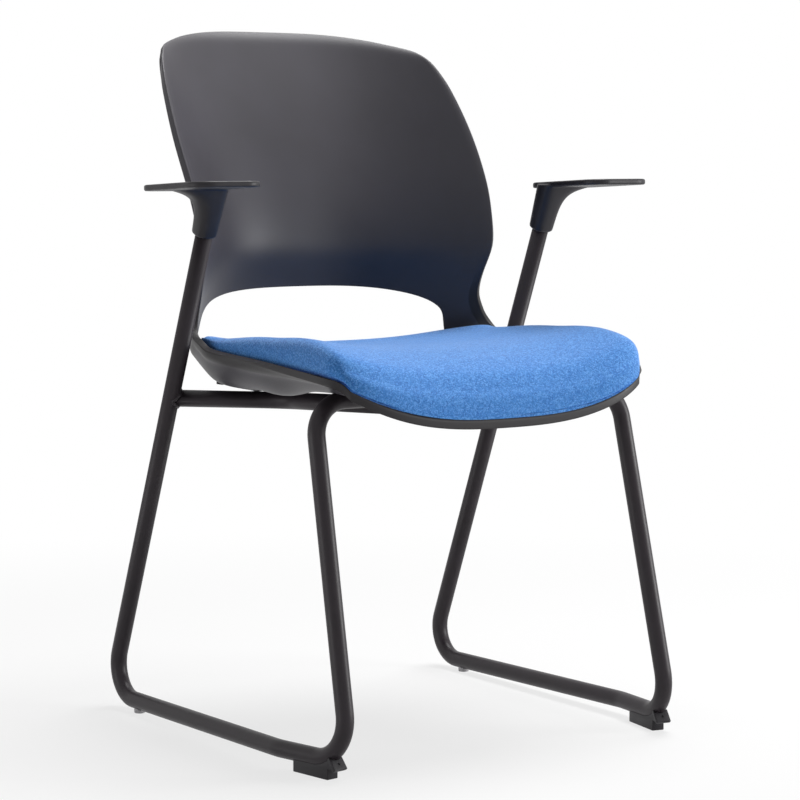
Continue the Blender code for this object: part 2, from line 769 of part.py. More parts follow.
def upright(x, y, z):
    return Matrix.Translation((x, y, z))


def rail_y(x):
    """The rail's axis on its inward run."""
    share = (POST_X - x) / (POST_X - RAIL_ELBOW_X)
    return post_y(RAIL_LEG_Z) + (RAIL_ELBOW_Y - post_y(RAIL_LEG_Z)) * share


def bolt_spots():
    """Where the four bolts stand, with the underside of each tab."""
    spots = []
    for _, side in SIDES:
        front_y = CROSS_BAR_Y + TAB_BOLT_OFFSET
        spots.append((side * FRONT_TAB_X, front_y, CROSS_BAR_TOP_Z + FIT_GAP))
        rear_y = rail_y(REAR_TAB_X) + TAB_BOLT_OFFSET
        spots.append((side * REAR_TAB_X, rear_y, RAIL_TOP_Z + FIT_GAP))
    return spots


def ring(inner, outer, low, high):
    """The profile of a turned ring."""
    return [(inner, low), (outer, low), (outer, high), (inner, high), (inner, low)]


def rod(radius, low, high):
    """The profile of a turned rod."""
    return [(0, low), (radius, low), (radius, high), (0, high)]


SEAT_CORNERS = ("front_left", "rear_left", "front_right", "rear_right")


def seat_fixings(shell, board):
    """Tabs on the frame, with the bolts, washers and nuts that clamp shell and board to them."""
    spots = bolt_spots()
    hole = rod(BOLT_RADIUS + BOLT_CLEARANCE, -0.002, 0.020)
    places = [upright(*spot) for spot in spots]
    drills = turned_cutters("bolt_hole", hole, places)
    for corner, drill, (x, y, z) in zip(SEAT_CORNERS, drills, spots):
        combine(shell, drill, "DIFFERENCE")
        name = f"{corner}_tab"
        front = y - TAB_BOLT_OFFSET - TAB_LEAD
        low = (x - TAB_WIDTH / 2, front, z)
        high = (x + TAB_WIDTH / 2, front + TAB_LENGTH, z + TAB_THICKNESS)
        tab = place_object(name, box_mesh(name, low, high, 0.0008), POWDER_COAT)
        combine(tab, drill, "DIFFERENCE")
    board_low = TAB_THICKNESS + FIT_GAP + SHELL_WALL + FIT_GAP
    board_high = board_low + BOARD_THICKNESS
    room_low = board_high - NUT_FLANGE_THICKNESS - 2 * FIT_GAP
    nut_room = [
        (0, board_low - 0.003),
        (NUT_BARREL_RADIUS + FIT_GAP, board_low - 0.003),
        (NUT_BARREL_RADIUS + FIT_GAP, room_low),
        (NUT_FLANGE_RADIUS + FIT_GAP, room_low),
        (NUT_FLANGE_RADIUS + FIT_GAP, board_high + 0.003),
        (0, board_high + 0.003),
    ]
    for cutter in turned_cutters("nut_room", nut_room, places):
        combine(board, cutter, "DIFFERENCE")
    bore = BOLT_RADIUS + FIT_GAP
    nut_low = board_low + 6 * FIT_GAP
    flange_low = room_low + FIT_GAP
    flange_high = flange_low + NUT_FLANGE_THICKNESS
    nut = [
        (bore, nut_low),
        (NUT_BARREL_RADIUS, nut_low),
        (NUT_BARREL_RADIUS, flange_low),
        (NUT_FLANGE_RADIUS, flange_low),
        (NUT_FLANGE_RADIUS, flange_high),
        (bore, flange_high),
        (bore, nut_low),
    ]
    turned_copies([f"{corner}_t_nut" for corner in SEAT_CORNERS], nut, places, ZINC)
    washer = ring(bore, WASHER_RADIUS, -FIT_GAP - WASHER_THICKNESS, -FIT_GAP)
    turned_copies([f"{corner}_bolt_washer" for corner in SEAT_CORNERS], washer, places, ZINC)
    seat = -2 * FIT_GAP - WASHER_THICKNESS
    bolt = [
        (0, seat - BOLT_HEAD_HEIGHT),
        (BOLT_HEAD_RADIUS * 0.8, seat - BOLT_HEAD_HEIGHT),
        (BOLT_HEAD_RADIUS, seat - BOLT_HEAD_HEIGHT * 0.6),
        (BOLT_HEAD_RADIUS, seat),
        (BOLT_RADIUS, seat),
        (BOLT_RADIUS, flange_high - FIT_GAP),
        (0, flange_high - FIT_GAP),
    ]
    turned_copies([f"{corner}_seat_bolt" for corner in SEAT_CORNERS], bolt, places, ZINC)


def cross_bar_sleeve():
    """The sleeve that aligns the two halves of the cross bar."""
    radius = TUBE_RADIUS - TUBE_WALL - FIT_GAP
    ends = [
        Vector((-SLEEVE_LENGTH / 2, CROSS_BAR_Y, CROSS_BAR_Z)),
        Vector((SLEEVE_LENGTH / 2, CROSS_BAR_Y, CROSS_BAR_Z)),
    ]
    hollow_tube("cross_bar_sleeve", ends, radius, SLEEVE_WALL, ZINC)


def rounded_rectangle(low, high, radius, steps=6):
    """The outline of a rectangle with round corners."""
    outline = []
    corners = (
        (high[0] - radius, high[1] - radius, 0),
        (low[0] + radius, high[1] - radius, 1),
        (low[0] + radius, low[1] + radius, 2),
        (high[0] - radius, low[1] + radius, 3),
    )
    for x, y, quarter in corners:
        for step in range(steps + 1):
            angle = math.pi / 2 * (quarter + step / steps)
            outline.append((x + radius * math.cos(angle), y + radius * math.sin(angle)))
    return outline


def loft(name, rings):
    """A closed solid through a stack of rings that have the same number of points."""
    bm = bmesh.new()
    stack = [[bm.verts.new(spot) for spot in ring_spots] for ring_spots in rings]
    for low, high in zip(stack, stack[1:]):
        for index in range(len(low)):
            nearby = (index + 1) % len(low)
            bm.faces.new((low[index], low[nearby], high[nearby], high[index]))
    bm.faces.new(stack[0][::-1])
    bm.faces.new(stack[-1])
    return mesh_from(name, bm)


def stem_ring(side, height, share, inset):
    """One section of the arm's stem: round inside and below, drawn out towards the pad's outer end."""
    grow = STEM_TAPER * share - inset
    outward = STEM_HALF_WIDTH + grow + along(STEM_FLARE, share)
    inward = STEM_HALF_WIDTH + grow
    depth = STEM_HALF_DEPTH + grow
    ring_spots = []
    for step in range(20):
        angle = math.tau * step / 20
        reach = outward if math.cos(angle) > 0 else inward
        across = math.copysign(abs(math.cos(angle)) ** 0.75, math.cos(angle)) * reach
        deep = math.copysign(abs(math.sin(angle)) ** 0.75, math.sin(angle)) * depth
        ring_spots.append(Vector((side * (POST_X + across), post_y(height) + deep, height)))
    return ring_spots


def armrest(name, side, room):
    """The moulded T-arm: a flat pad on a stem that slips over the post."""
    edges = sorted((side * PAD_OUTWARD, -side * PAD_INWARD))
    outline = rounded_rectangle((edges[0], -PAD_FORWARD), (edges[1], PAD_REARWARD), PAD_CORNER_RADIUS)
    pad = flat_outline(f"{name}_armrest", outline, PAD_THICKNESS / 2)
    middle = Matrix.Translation((0, (PAD_REARWARD - PAD_FORWARD) / 2, 0))
    pad.transform(middle @ Matrix.Rotation(-PAD_TILT, 4, "X") @ middle.inverted())
    pad.transform(Matrix.Translation((side * POST_X, post_y(PAD_TOP_Z), PAD_TOP_Z - PAD_THICKNESS / 2)))
    arm = place_object(f"{name}_armrest", pad, BLACK_PLASTIC)
    under = PAD_UNDERSIDE_Z
    rings = [stem_ring(side, STEM_BOTTOM_Z, 0, STEM_CHAMFER)]
    for share in (0, 0.3, 0.5, 0.65, 0.76, 0.85, 0.92, 0.97, 1):
        low = STEM_BOTTOM_Z + STEM_CHAMFER
        rings.append(stem_ring(side, low + (under - low) * share, share, 0))
    rings.append(stem_ring(side, under + PAD_THICKNESS * 0.4, 1, 0))
    combine(arm, place_cutter(f"{name}_arm_stem", loft(f"{name}_arm_stem", rings)), "UNION")
    combine(arm, room, "DIFFERENCE")
    smooth(arm, 30)
    return arm


def arm_screw_depth():
    """How far the stem's rear face is from the post's axis where the arm screw goes in."""
    low = STEM_BOTTOM_Z + STEM_CHAMFER
    share = (ARM_SCREW_Z - low) / (PAD_UNDERSIDE_Z - low)
    return (STEM_HALF_DEPTH + STEM_TAPER * share) * math.cos(math.atan(POST_LEAN))


def arm_screw_places():
    """The arm screws go in from the rear, square to the post."""
    turn = Matrix.Rotation(math.pi / 2 + math.atan(POST_LEAN), 4, "X")
    out = Matrix.Translation((0, 0, -arm_screw_depth())) @ Matrix.Rotation(math.pi / 24, 4, "Z")
    places = []
    for _, side in SIDES:
        spot = (side * POST_X, post_y(ARM_SCREW_Z), ARM_SCREW_Z)
        places.append(Matrix.Translation(spot) @ turn @ out)
    return places


def fix_armrests(arms, tubes):
    """One countersunk screw through each stem and into its post."""
    places = arm_screw_places()
    seat = ARM_SCREW_HEAD_HEIGHT + FIT_GAP
    shank_end = arm_screw_depth() - TUBE_RADIUS + TUBE_WALL + 0.002
    screw = [
        (0, FIT_GAP),
        (ARM_SCREW_HEAD_RADIUS, FIT_GAP),
        (ARM_SCREW_HEAD_RADIUS, seat),
        (ARM_SCREW_RADIUS, seat),
        (ARM_SCREW_RADIUS, shank_end),
        (0, shank_end),
    ]
    turned_copies([f"{name}_armrest_screw" for name, _ in SIDES], screw, places, ZINC)
    room = [
        (0, -0.004),
        (ARM_SCREW_HEAD_RADIUS + FIT_GAP, -0.004),
        (ARM_SCREW_HEAD_RADIUS + FIT_GAP, seat + FIT_GAP),
        (ARM_SCREW_RADIUS + FIT_GAP, seat + FIT_GAP),
        (ARM_SCREW_RADIUS + FIT_GAP, shank_end + 0.001),
        (0, shank_end + 0.001),
    ]
    drills = turned_cutters("arm_screw_room", room, places)
    for arm, tube, drill in zip(arms, tubes, drills):
        combine(arm, drill, "DIFFERENCE")
        combine(tube, drill, "DIFFERENCE")


def runner_frame(side):
    """Local axes of the front end of the runner: Y back along it, Z up, origin under the front corner."""
    kink = Vector((side * KINK_X, KINK_Y, 0))
    corner = Vector((side * FRONT_CORNER_X, FRONT_CORNER_Y, 0))
    back = (kink - corner).normalized()
    across = back.cross(Vector((0, 0, 1)))
    turn = Matrix((across, back, (0, 0, 1))).transposed().to_4x4()
    return Matrix.Translation(corner) @ turn


FRONT_TURN = math.pi / 2 + math.atan(FRONT_LEAN_BACK)
FRONT_TANGENT = FRONT_BEND_RADIUS * math.tan(FRONT_TURN / 2)


def lug_frame():
    """Local axes of the foot's lug: Z along the outward normal of the bend, Y up along it, on the skin."""
    reach = FRONT_BEND_RADIUS + TUBE_RADIUS
    spot = Vector((
        0,
        FRONT_TANGENT - reach * math.sin(LUG_ANGLE),
        FRONT_AXIS_Z + FRONT_BEND_RADIUS - reach * math.cos(LUG_ANGLE),
    ))
    return Matrix.Translation(spot) @ Matrix.Rotation(math.pi - LUG_ANGLE, 4, "X")


def foot_outline():
    """The foot seen from the side: flat below, its top follows the bend up to the lug that ends it."""
    skin = FRONT_BEND_RADIUS + TUBE_RADIUS - FOOT_GRIP
    centre_z = FRONT_AXIS_Z + FRONT_BEND_RADIUS
    outline = [(FOOT_REAR, 0), (FOOT_REAR, centre_z - skin)]
    for step in range(7):
        angle = LUG_ANGLE * step / 6
        outline.append((FRONT_TANGENT - skin * math.sin(angle), centre_z - skin * math.cos(angle)))
    toe = lug_frame() @ Vector((0, 0, LUG_REACH))
    heel = lug_frame() @ Vector((0, -LUG_THICKNESS, LUG_REACH))
    outline += [(toe.y, toe.z), (heel.y, heel.z), (FOOT_FRONT, heel.z + LUG_UNDERCUT), (FOOT_FRONT, 0)]
    return outline


def front_foot(name, side, room):
    """A saddle foot under the front bend. It ends in a wider lug square to the bend."""
    frame = runner_frame(side)
    mesh = flat_outline(name, foot_outline(), FOOT_WIDTH / 2)
    stand_up = Matrix(((0, 0, 1), (1, 0, 0), (0, 1, 0))).to_4x4()
    mesh.transform(frame @ stand_up)
    foot = place_object(name, mesh, BLACK_PLASTIC)
    lug_low = (-LUG_WIDTH / 2, -LUG_THICKNESS, -0.003)
    lug_high = (LUG_WIDTH / 2, FIT_GAP, LUG_REACH + FIT_GAP)
    lug = box_mesh(f"{name}_lug", lug_low, lug_high, 0.0006)
    lug.transform(frame @ lug_frame())
    combine(foot, place_cutter(f"{name}_lug", lug), "UNION")
    combine(foot, room, "DIFFERENCE")
    facing = Matrix.Translation((0, FIT_GAP, DIMPLE_REACH)) @ Matrix.Rotation(-math.pi / 2, 4, "X")
    dimple = rod(DIMPLE_RADIUS, -DIMPLE_DEPTH, DIMPLE_DEPTH)
    for cutter in turned_cutters(f"{name}_dimple", dimple, [frame @ lug_frame() @ facing]):
        combine(foot, cutter, "DIFFERENCE")
    return foot


def fix_feet(feet, tubes):
    """One screw up through a recess in each sole and into the runner."""
    places = [runner_frame(side) @ upright(0, FOOT_SCREW_PLACE, 0) for _, side in SIDES]
    seat = FOOT_SCREW_RECESS + FOOT_SCREW_HEAD_HEIGHT
    tip = FRONT_AXIS_Z - TUBE_RADIUS + FOOT_SCREW_BITE
    screw = [
        (0, FOOT_SCREW_RECESS),
        (FOOT_SCREW_HEAD_RADIUS * 0.7, FOOT_SCREW_RECESS),
        (FOOT_SCREW_HEAD_RADIUS, seat - FOOT_SCREW_HEAD_HEIGHT * 0.6),
        (FOOT_SCREW_HEAD_RADIUS, seat),
        (FOOT_SCREW_RADIUS, seat),
        (FOOT_SCREW_RADIUS, tip),
        (0, tip),
    ]
    turned_copies([f"front_{name}_foot_screw" for name, _ in SIDES], screw, places, ZINC)
    room = [
        (0, -0.001),
        (FOOT_SCREW_HEAD_RADIUS + FIT_GAP, -0.001),
        (FOOT_SCREW_HEAD_RADIUS + FIT_GAP, seat + FIT_GAP),
        (FOOT_SCREW_RADIUS + FIT_GAP, seat + FIT_GAP),
        (FOOT_SCREW_RADIUS + FIT_GAP, tip + 0.001),
        (0, tip + 0.001),
    ]
    drills = turned_cutters("foot_screw_room", room, places)
    for foot, tube, drill in zip(feet, tubes, drills):
        combine(foot, drill, "DIFFERENCE")
        combine(tube, drill, "DIFFERENCE")


def runner_height(y):
    """The runner's axis height on its straight run."""
    share = (REAR_CORNER_Y - y) / (REAR_CORNER_Y - FRONT_CORNER_Y)
    return REAR_AXIS_Z + (FRONT_AXIS_Z - REAR_AXIS_Z) * share


def runner_x(y):
    return POST_X + (KINK_X - POST_X) * (REAR_CORNER_Y - y) / (REAR_CORNER_Y - KINK_Y)


def rear_glide(name, side, room, tube):
    """A small glide with a peg that snaps into the runner."""
    x = side * runner_x(GLIDE_Y)
    axis_z = runner_height(GLIDE_Y)
    top = axis_z - TUBE_RADIUS + GLIDE_GRIP
    button = [
        (0, 0),
        (GLIDE_RADIUS - GLIDE_CHAMFER, 0),
        (GLIDE_RADIUS, GLIDE_CHAMFER),
        (GLIDE_RADIUS, top),
        (0, top),
    ]
    mesh = turned_mesh(name, button)
    mesh.transform(upright(x, GLIDE_Y, 0))
    glide = place_object(name, mesh, GREY_PLASTIC)
    combine(glide, room, "DIFFERENCE")
    peg_low = (axis_z - TUBE_RADIUS) / 2
    peg_high = axis_z - TUBE_RADIUS + GLIDE_PEG_HEIGHT
    place = [upright(x, GLIDE_Y, 0)]
    for peg in turned_cutters(f"{name}_peg", rod(GLIDE_PEG_RADIUS, peg_low, peg_high), place):
        combine(glide, peg, "UNION")
    skin = axis_z - TUBE_RADIUS
    hole = rod(GLIDE_PEG_RADIUS + FIT_GAP, skin - TUBE_WALL, skin + 2 * TUBE_WALL)
    for drill in turned_cutters(f"{name}_peg_hole", hole, place):
        combine(tube, drill, "DIFFERENCE")


def stack_bumper(name, side):
    """A block on the shell's underside that keeps stacked chairs apart."""
    bm = bmesh.new()
    tops = []
    near, far = BUMPER_COLUMNS
    front, rear = BUMPER_ROWS
    for across, back in ((near, front), (far, front), (far, rear), (near, rear)):
        step = 0.004
        here = seat_point(side * across, back)
        side_edge = seat_point(side * (across + step), back) - here
        rear_edge = seat_point(side * across, back + step) - here
        normal = side_edge.cross(rear_edge).normalized()
        if normal.z < 0:
            normal.negate()
        tops.append(here - normal * (seat_wall(across, back) + 2 * FIT_GAP))
    face = bm.faces.new([bm.verts.new(spot) for spot in tops])
    made = bmesh.ops.extrude_face_region(bm, geom=[face], use_keep_orig=True)
    for part in made["geom"]:
        if isinstance(part, bmesh.types.BMVert):
            part.co.z = BUMPER_BOTTOM_Z
    return place_object(name, mesh_from(name, bm), RUBBER)


def build():
    shell = seat_back_shell()
    board = seat_board()
    seat_foam()
    seat_cover()
    seat_fixings(shell, board)
    cross_bar_sleeve()
    arms = []
    tubes = []
    feet = []
    for name, side in SIDES:
        room = tube_room(name, side)
        path = bent_path(side_corners(side), SIDE_RADII)
        tube = hollow_tube(f"{name}_side_tube", path, TUBE_RADIUS, TUBE_WALL, POWDER_COAT)
        tubes.append(tube)
        seat_rail(name, side, room)
        arms.append(armrest(name, side, room))
        feet.append(front_foot(f"front_{name}_foot", side, room))
        rear_glide(f"rear_{name}_glide", side, room, tube)
        stack_bumper(f"{name}_stack_bumper", side)
    fix_armrests(arms, tubes)
    fix_feet(feet, tubes)
    smooth(shell, 50)
    front = FRONT_CORNER_Y + FRONT_TANGENT - FRONT_BEND_RADIUS - TUBE_RADIUS
    rear = max(spot.co.y for spot in shell.data.vertices)
    ROOT.location.y = -(front + rear) / 2


build()
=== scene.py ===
"""Sled-base visitor armchair, dressed: bent tube frame, moulded shell, upholstered seat pad, T-arms."""

import math

import bpy
from mathutils import Matrix, Vector


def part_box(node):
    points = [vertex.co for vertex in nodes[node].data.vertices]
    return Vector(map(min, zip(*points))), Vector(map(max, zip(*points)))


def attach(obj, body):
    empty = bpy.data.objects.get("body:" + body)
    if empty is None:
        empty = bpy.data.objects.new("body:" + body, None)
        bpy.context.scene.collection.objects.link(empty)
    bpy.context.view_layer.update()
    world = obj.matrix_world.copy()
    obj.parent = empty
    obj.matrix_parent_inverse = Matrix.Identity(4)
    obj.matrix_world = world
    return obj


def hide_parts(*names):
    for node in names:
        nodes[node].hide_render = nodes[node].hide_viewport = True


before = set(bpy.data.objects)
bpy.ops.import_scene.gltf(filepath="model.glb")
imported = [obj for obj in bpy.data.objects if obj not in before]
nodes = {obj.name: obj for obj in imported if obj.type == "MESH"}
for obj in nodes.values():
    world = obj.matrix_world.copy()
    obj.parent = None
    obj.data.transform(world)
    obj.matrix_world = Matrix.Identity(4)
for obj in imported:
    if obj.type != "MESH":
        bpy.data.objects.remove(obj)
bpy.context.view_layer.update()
SIDES = (("left", -1), ("right", 1))


# Side tubes of the frame
# Each side is one 20 mm steel tube, bent cold from the arm post down to the runner, up the front leg and
# in to the middle of the front cross bar. It is powder coated in satin black after welding.
TUBE_RADIUS = 0.010
TUBE_WALL = 0.002
TUBE_SIDES = 40
POST_X = 0.2385
POST_TOP_Z = 0.626
POST_LEAN = 0.412
REAR_CORNER_Y = 0.24028
REAR_AXIS_Z = 0.0125
KINK = (0.241, -0.16172, 0.01959)
FRONT_CORNER = (0.2214, -0.27572, 0.0216)
CROSS_BAR = (0.21031, -0.18291, 0.404)
SIDE_BENDS = (0.039, 0.080, 0.043, 0.042)
HALF_JOINT_GAP = 0.0003
MERGE_DISTANCE = 0.00001


def hex_colour(code):
    """A colour written as sRGB hex, turned to linear light."""
    levels = [int(code[place:place + 2], 16) / 255 for place in (0, 2, 4)]
    linear = [level / 12.92 if level <= 0.04045 else ((level + 0.055) / 1.055) ** 2.4 for level in levels]
    return (*linear, 1.0)


def new_material(name):
    """An empty material, to be filled with nodes."""
    made = bpy.data.materials.new(name)
    made.use_nodes = True
    made.node_tree.nodes.clear()
    return made


def add_node(material, kind, settings=None, links=None):
    """Adds a node to a material, with its settings and its incoming links."""
    node = material.node_tree.nodes.new(kind)
    for key, value in (settings or {}).items():
        if isinstance(key, int) or key in node.inputs:
            node.inputs[key].default_value = value
        else:
            setattr(node, key, value)
    for key, source in (links or {}).items():
        material.node_tree.links.new(source, node.inputs[key])
    return node


def noise(material, size, detail, roughness):
    """A noise over the object, with the width of its grain in metres."""
    place = add_node(material, "ShaderNodeTexCoord")
    settings = {"Scale": 1 / size, "Detail": detail, "Roughness": roughness}
    field = add_node(material, "ShaderNodeTexNoise", settings, {"Vector": place.outputs["Object"]})
    return field.outputs["Fac"]


def shade(material, source, *stops):
    """Turns a value into colour by stops, each a (place, sRGB hex) pair."""
    ramp = add_node(material, "ShaderNodeValToRGB", {}, {"Fac": source})
    marks = ramp.color_ramp.elements
    for mark, (spot, code) in zip(marks, (stops[0], stops[-1])):
        mark.position = spot
        mark.color = hex_colour(code)
    for spot, code in stops[1:-1]:
        marks.new(spot).color = hex_colour(code)
    return ramp.outputs["Color"]


def spread(material, source, low, high, least, most):
    """Maps a value from the range low to high onto the range least to most."""
    settings = {"From Min": low, "From Max": high, "To Min": least, "To Max": most}
    return add_node(material, "ShaderNodeMapRange", settings, {"Value": source}).outputs["Result"]


def relief(material, source, strength, depth):
    """A value as small relief of the surface."""
    settings = {"Strength": strength, "Distance": depth}
    return add_node(material, "ShaderNodeBump", settings, {"Height": source}).outputs["Normal"]


def finish(material, settings, links):
    """Closes a material with its surface shader."""
    shader = add_node(material, "ShaderNodeBsdfPrincipled", settings, links)
    add_node(material, "ShaderNodeOutputMaterial", {}, {"Surface": shader.outputs["BSDF"]})


# Powder coat on steel: a thin melted polymer skin, satin, with a faint orange peel.
# The peel is about 1 mm wide on the real tube and is drawn at 2.5 mm so that it shows.
PEEL_SIZE = 0.0025
HANDLING_SIZE = 0.045
powder_coat = new_material("satin_powder_coat")
peel = noise(powder_coat, PEEL_SIZE, 2.0, 0.5)
handling = noise(powder_coat, HANDLING_SIZE, 4.0, 0.6)
finish(
    powder_coat,
    {"IOR": 1.5, "Specular IOR Level": 0.25},
    {
        "Base Color": shade(powder_coat, handling, (0.3, "292428"), (0.75, "312b30")),
        "Roughness": spread(powder_coat, handling, 0.25, 0.75, 0.36, 0.46),
        "Normal": relief(powder_coat, peel, 0.12, 0.0004),
    },
)


def clear_selection():
    """Leaves edit mode and selects nothing, because an operator acts on all that is selected."""
    if bpy.context.object and bpy.context.object.mode != "OBJECT":
        bpy.ops.object.mode_set(mode="OBJECT")
    bpy.ops.object.select_all(action="DESELECT")


def apply_modifier(piece, kind, **settings):
    """Adds a modifier with its settings and applies it."""
    bpy.context.view_layer.objects.active = piece
    change = piece.modifiers.new(kind.lower(), kind)
    for key, value in settings.items():
        setattr(change, key, value)
    bpy.ops.object.modifier_apply(modifier=change.name)


def settle(piece, name, material, smooth_degrees=35):
    """Puts a piece's place into its mesh, closes its seams, turns its faces out and gives it a finish."""
    clear_selection()
    bpy.context.view_layer.objects.active = piece
    piece.select_set(True)
    piece.name = name
    piece.data.name = name
    bpy.ops.object.transform_apply(location=True, rotation=True, scale=True)
    bpy.ops.object.mode_set(mode="EDIT")
    bpy.ops.mesh.select_all(action="SELECT")
    bpy.ops.mesh.remove_doubles(threshold=MERGE_DISTANCE)
    bpy.ops.mesh.normals_make_consistent(inside=False)
    bpy.ops.object.mode_set(mode="OBJECT")
    bpy.ops.object.shade_smooth_by_angle(angle=math.radians(smooth_degrees))
    piece.data.materials.clear()
    piece.data.materials.append(material)


def bend_tube(corners, bends, radius):
    """Draws a ring along the corners: straight runs are extruded and each corner is spun to its bend."""
    clear_selection()
    heading = (corners[1] - corners[0]).to_track_quat("Z", "Y").to_euler()
    bpy.ops.mesh.primitive_circle_add(
        vertices=TUBE_SIDES, radius=radius, location=corners[0], rotation=heading
    )
    bpy.ops.object.mode_set(mode="EDIT")
    here = corners[0]
    for before, corner, after, bend in zip(corners, corners[1:], corners[2:], bends):
        incoming = (before - corner).normalized()
        outgoing = (after - corner).normalized()
        turn = math.pi - incoming.angle(outgoing)
        tangent = bend * math.tan(turn / 2)
        centre = corner + (incoming + outgoing).normalized() * (bend / math.cos(turn / 2))
        start = corner + incoming * tangent
        end = corner + outgoing * tangent
        bpy.ops.mesh.extrude_region_move(TRANSFORM_OT_translate={"value": start - here})
        steps = max(6, round(turn / math.radians(6)))
        axis = (end - centre).cross(start - centre).normalized()
        bpy.ops.mesh.spin(steps=steps, angle=turn, center=centre, axis=axis)
        here = end
    bpy.ops.mesh.extrude_region_move(TRANSFORM_OT_translate={"value": corners[-1] - here})
    bpy.ops.object.mode_set(mode="OBJECT")
    return bpy.context.object


def post_y(height):
    """Where the axis of the leaning rear leg is at a height."""
    return REAR_CORNER_Y - POST_LEAN * (height - REAR_AXIS_Z)


def mirrored(spot, side):
    """A point of the right side, or its mirror image on the left."""
    return Vector((side * spot[0], spot[1], spot[2]))


def side_corners(side):
    """The corners of one side of the frame, from the arm post's top to the middle of the cross bar."""
    return [
        mirrored((POST_X, post_y(POST_TOP_Z), POST_TOP_Z), side),
        mirrored((POST_X, REAR_CORNER_Y, REAR_AXIS_Z), side),
        mirrored(KINK, side),
        mirrored(FRONT_CORNER, side),
        mirrored(CROSS_BAR, side),
        Vector((side * HALF_JOINT_GAP, CROSS_BAR[1], CROSS_BAR[2])),
    ]


def add_wall(tube):
    """Gives a tube's skin its steel wall."""
    apply_modifier(tube, "SOLIDIFY", thickness=TUBE_WALL, offset=-1, use_even_offset=True)


for name, side in SIDES:
    tube = bend_tube(side_corners(side), SIDE_BENDS, TUBE_RADIUS)
    settle(tube, f"{name}_frame_tube", powder_coat)
    add_wall(tube)
    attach(tube, "root")
    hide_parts(f"{name}_side_tube")


# Seat rails and their welds
# A 20 mm tube on each side carries the seat. It is coped on the rear leg, bent forward and coped on the
# back of the cross bar, and a weld bead closes each end before the whole frame is powder coated.
RAIL_Z = 0.3825
RAIL_LEG_Z = 0.388
RAIL_FRONT_Z = 0.395
RAIL_ELBOW = (0.112, 0.04428)
RAIL_BEND = 0.050
RAIL_TRIM = 0.02
END_TOLERANCE = 0.0005
BEAD_RADIUS = 0.0021
BEAD_RIPPLE = 0.16


def cope(skin_point, direction, axis_point, axis_direction):
    """Slides a point of the rail's skin along the rail until it meets another tube's skin, if it does."""
    across = direction - axis_direction * direction.dot(axis_direction)
    offset = skin_point - axis_point
    offset -= axis_direction * offset.dot(axis_direction)
    a = across.dot(across)
    b = offset.dot(across)
    c = offset.dot(offset) - TUBE_RADIUS**2
    inside = b * b - a * c
    if inside < 0:
        return skin_point + direction * (-b / a)
    return skin_point + direction * ((-b - math.sqrt(inside)) / a)


def weld_bead(name, loop, material):
    """A closed bead of weld along a loop of points, with the small ripples of its pools."""
    curve = bpy.data.curves.new(name, "CURVE")
    curve.dimensions = "3D"
    curve.bevel_depth = BEAD_RADIUS
    curve.bevel_resolution = 3
    line = curve.splines.new("POLY")
    line.points.add(len(loop) - 1)
    line.use_cyclic_u = True
    for index, (point, spot) in enumerate(zip(line.points, loop)):
        point.co = (*spot, 1)
        point.radius = 1 + BEAD_RIPPLE * math.sin(index * math.tau / 3)
    bead = bpy.data.objects.new(name, curve)
    bpy.context.scene.collection.objects.link(bead)
    clear_selection()
    bead.select_set(True)
    bpy.context.view_layer.objects.active = bead
    bpy.ops.object.convert(target="MESH")
    settle(bead, name, material, 80)
    return bead


for name, side in SIDES:
    leg = mirrored((POST_X, post_y(RAIL_LEG_Z), RAIL_LEG_Z), side)
    leg_axis = Vector((0, -POST_LEAN, 1)).normalized()
    bar = Vector((side * RAIL_ELBOW[0], CROSS_BAR[1], CROSS_BAR[2]))
    bar_axis = Vector((1, 0, 0))
    rail_corners = [
        leg,
        Vector((side * RAIL_ELBOW[0], RAIL_ELBOW[1], RAIL_Z)),
        Vector((side * RAIL_ELBOW[0], CROSS_BAR[1], RAIL_FRONT_Z)),
    ]
    inward = (rail_corners[1] - rail_corners[0]).normalized()
    forward = (rail_corners[2] - rail_corners[1]).normalized()
    rail_corners[0] = leg + inward * RAIL_TRIM
    rail_corners[2] = rail_corners[2] - forward * RAIL_TRIM
    rail = bend_tube(rail_corners, (RAIL_BEND,), TUBE_RADIUS)
    settle(rail, f"{name}_rail_tube", powder_coat)
    beads = {"leg": [], "bar": []}
    for vertex in rail.data.vertices:
        if abs((vertex.co - rail_corners[0]).dot(inward)) < END_TOLERANCE and vertex.co.y > 0:
            vertex.co = cope(vertex.co, -inward, leg, leg_axis)
            beads["leg"].append(vertex.co.copy())
        elif abs((vertex.co - rail_corners[2]).dot(forward)) < END_TOLERANCE and vertex.co.y < 0:
            vertex.co = cope(vertex.co, forward, bar, bar_axis)
            beads["bar"].append(vertex.co.copy())
    for spots, facing in ((beads["leg"], inward), (beads["bar"], forward)):
        level = facing.cross(Vector((0, 0, 1))).normalized()
        middle = sum(spots, Vector()) / len(spots)
        spots.sort(key=lambda spot: math.atan2((spot - middle).z, (spot - middle).dot(level)))
    add_wall(rail)
    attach(rail, "root")
    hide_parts(f"{name}_seat_rail")
    for end, spots in beads.items():
        bead = weld_bead(f"{name}_rail_{end}_weld", spots, powder_coat)
        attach(bead, "root")


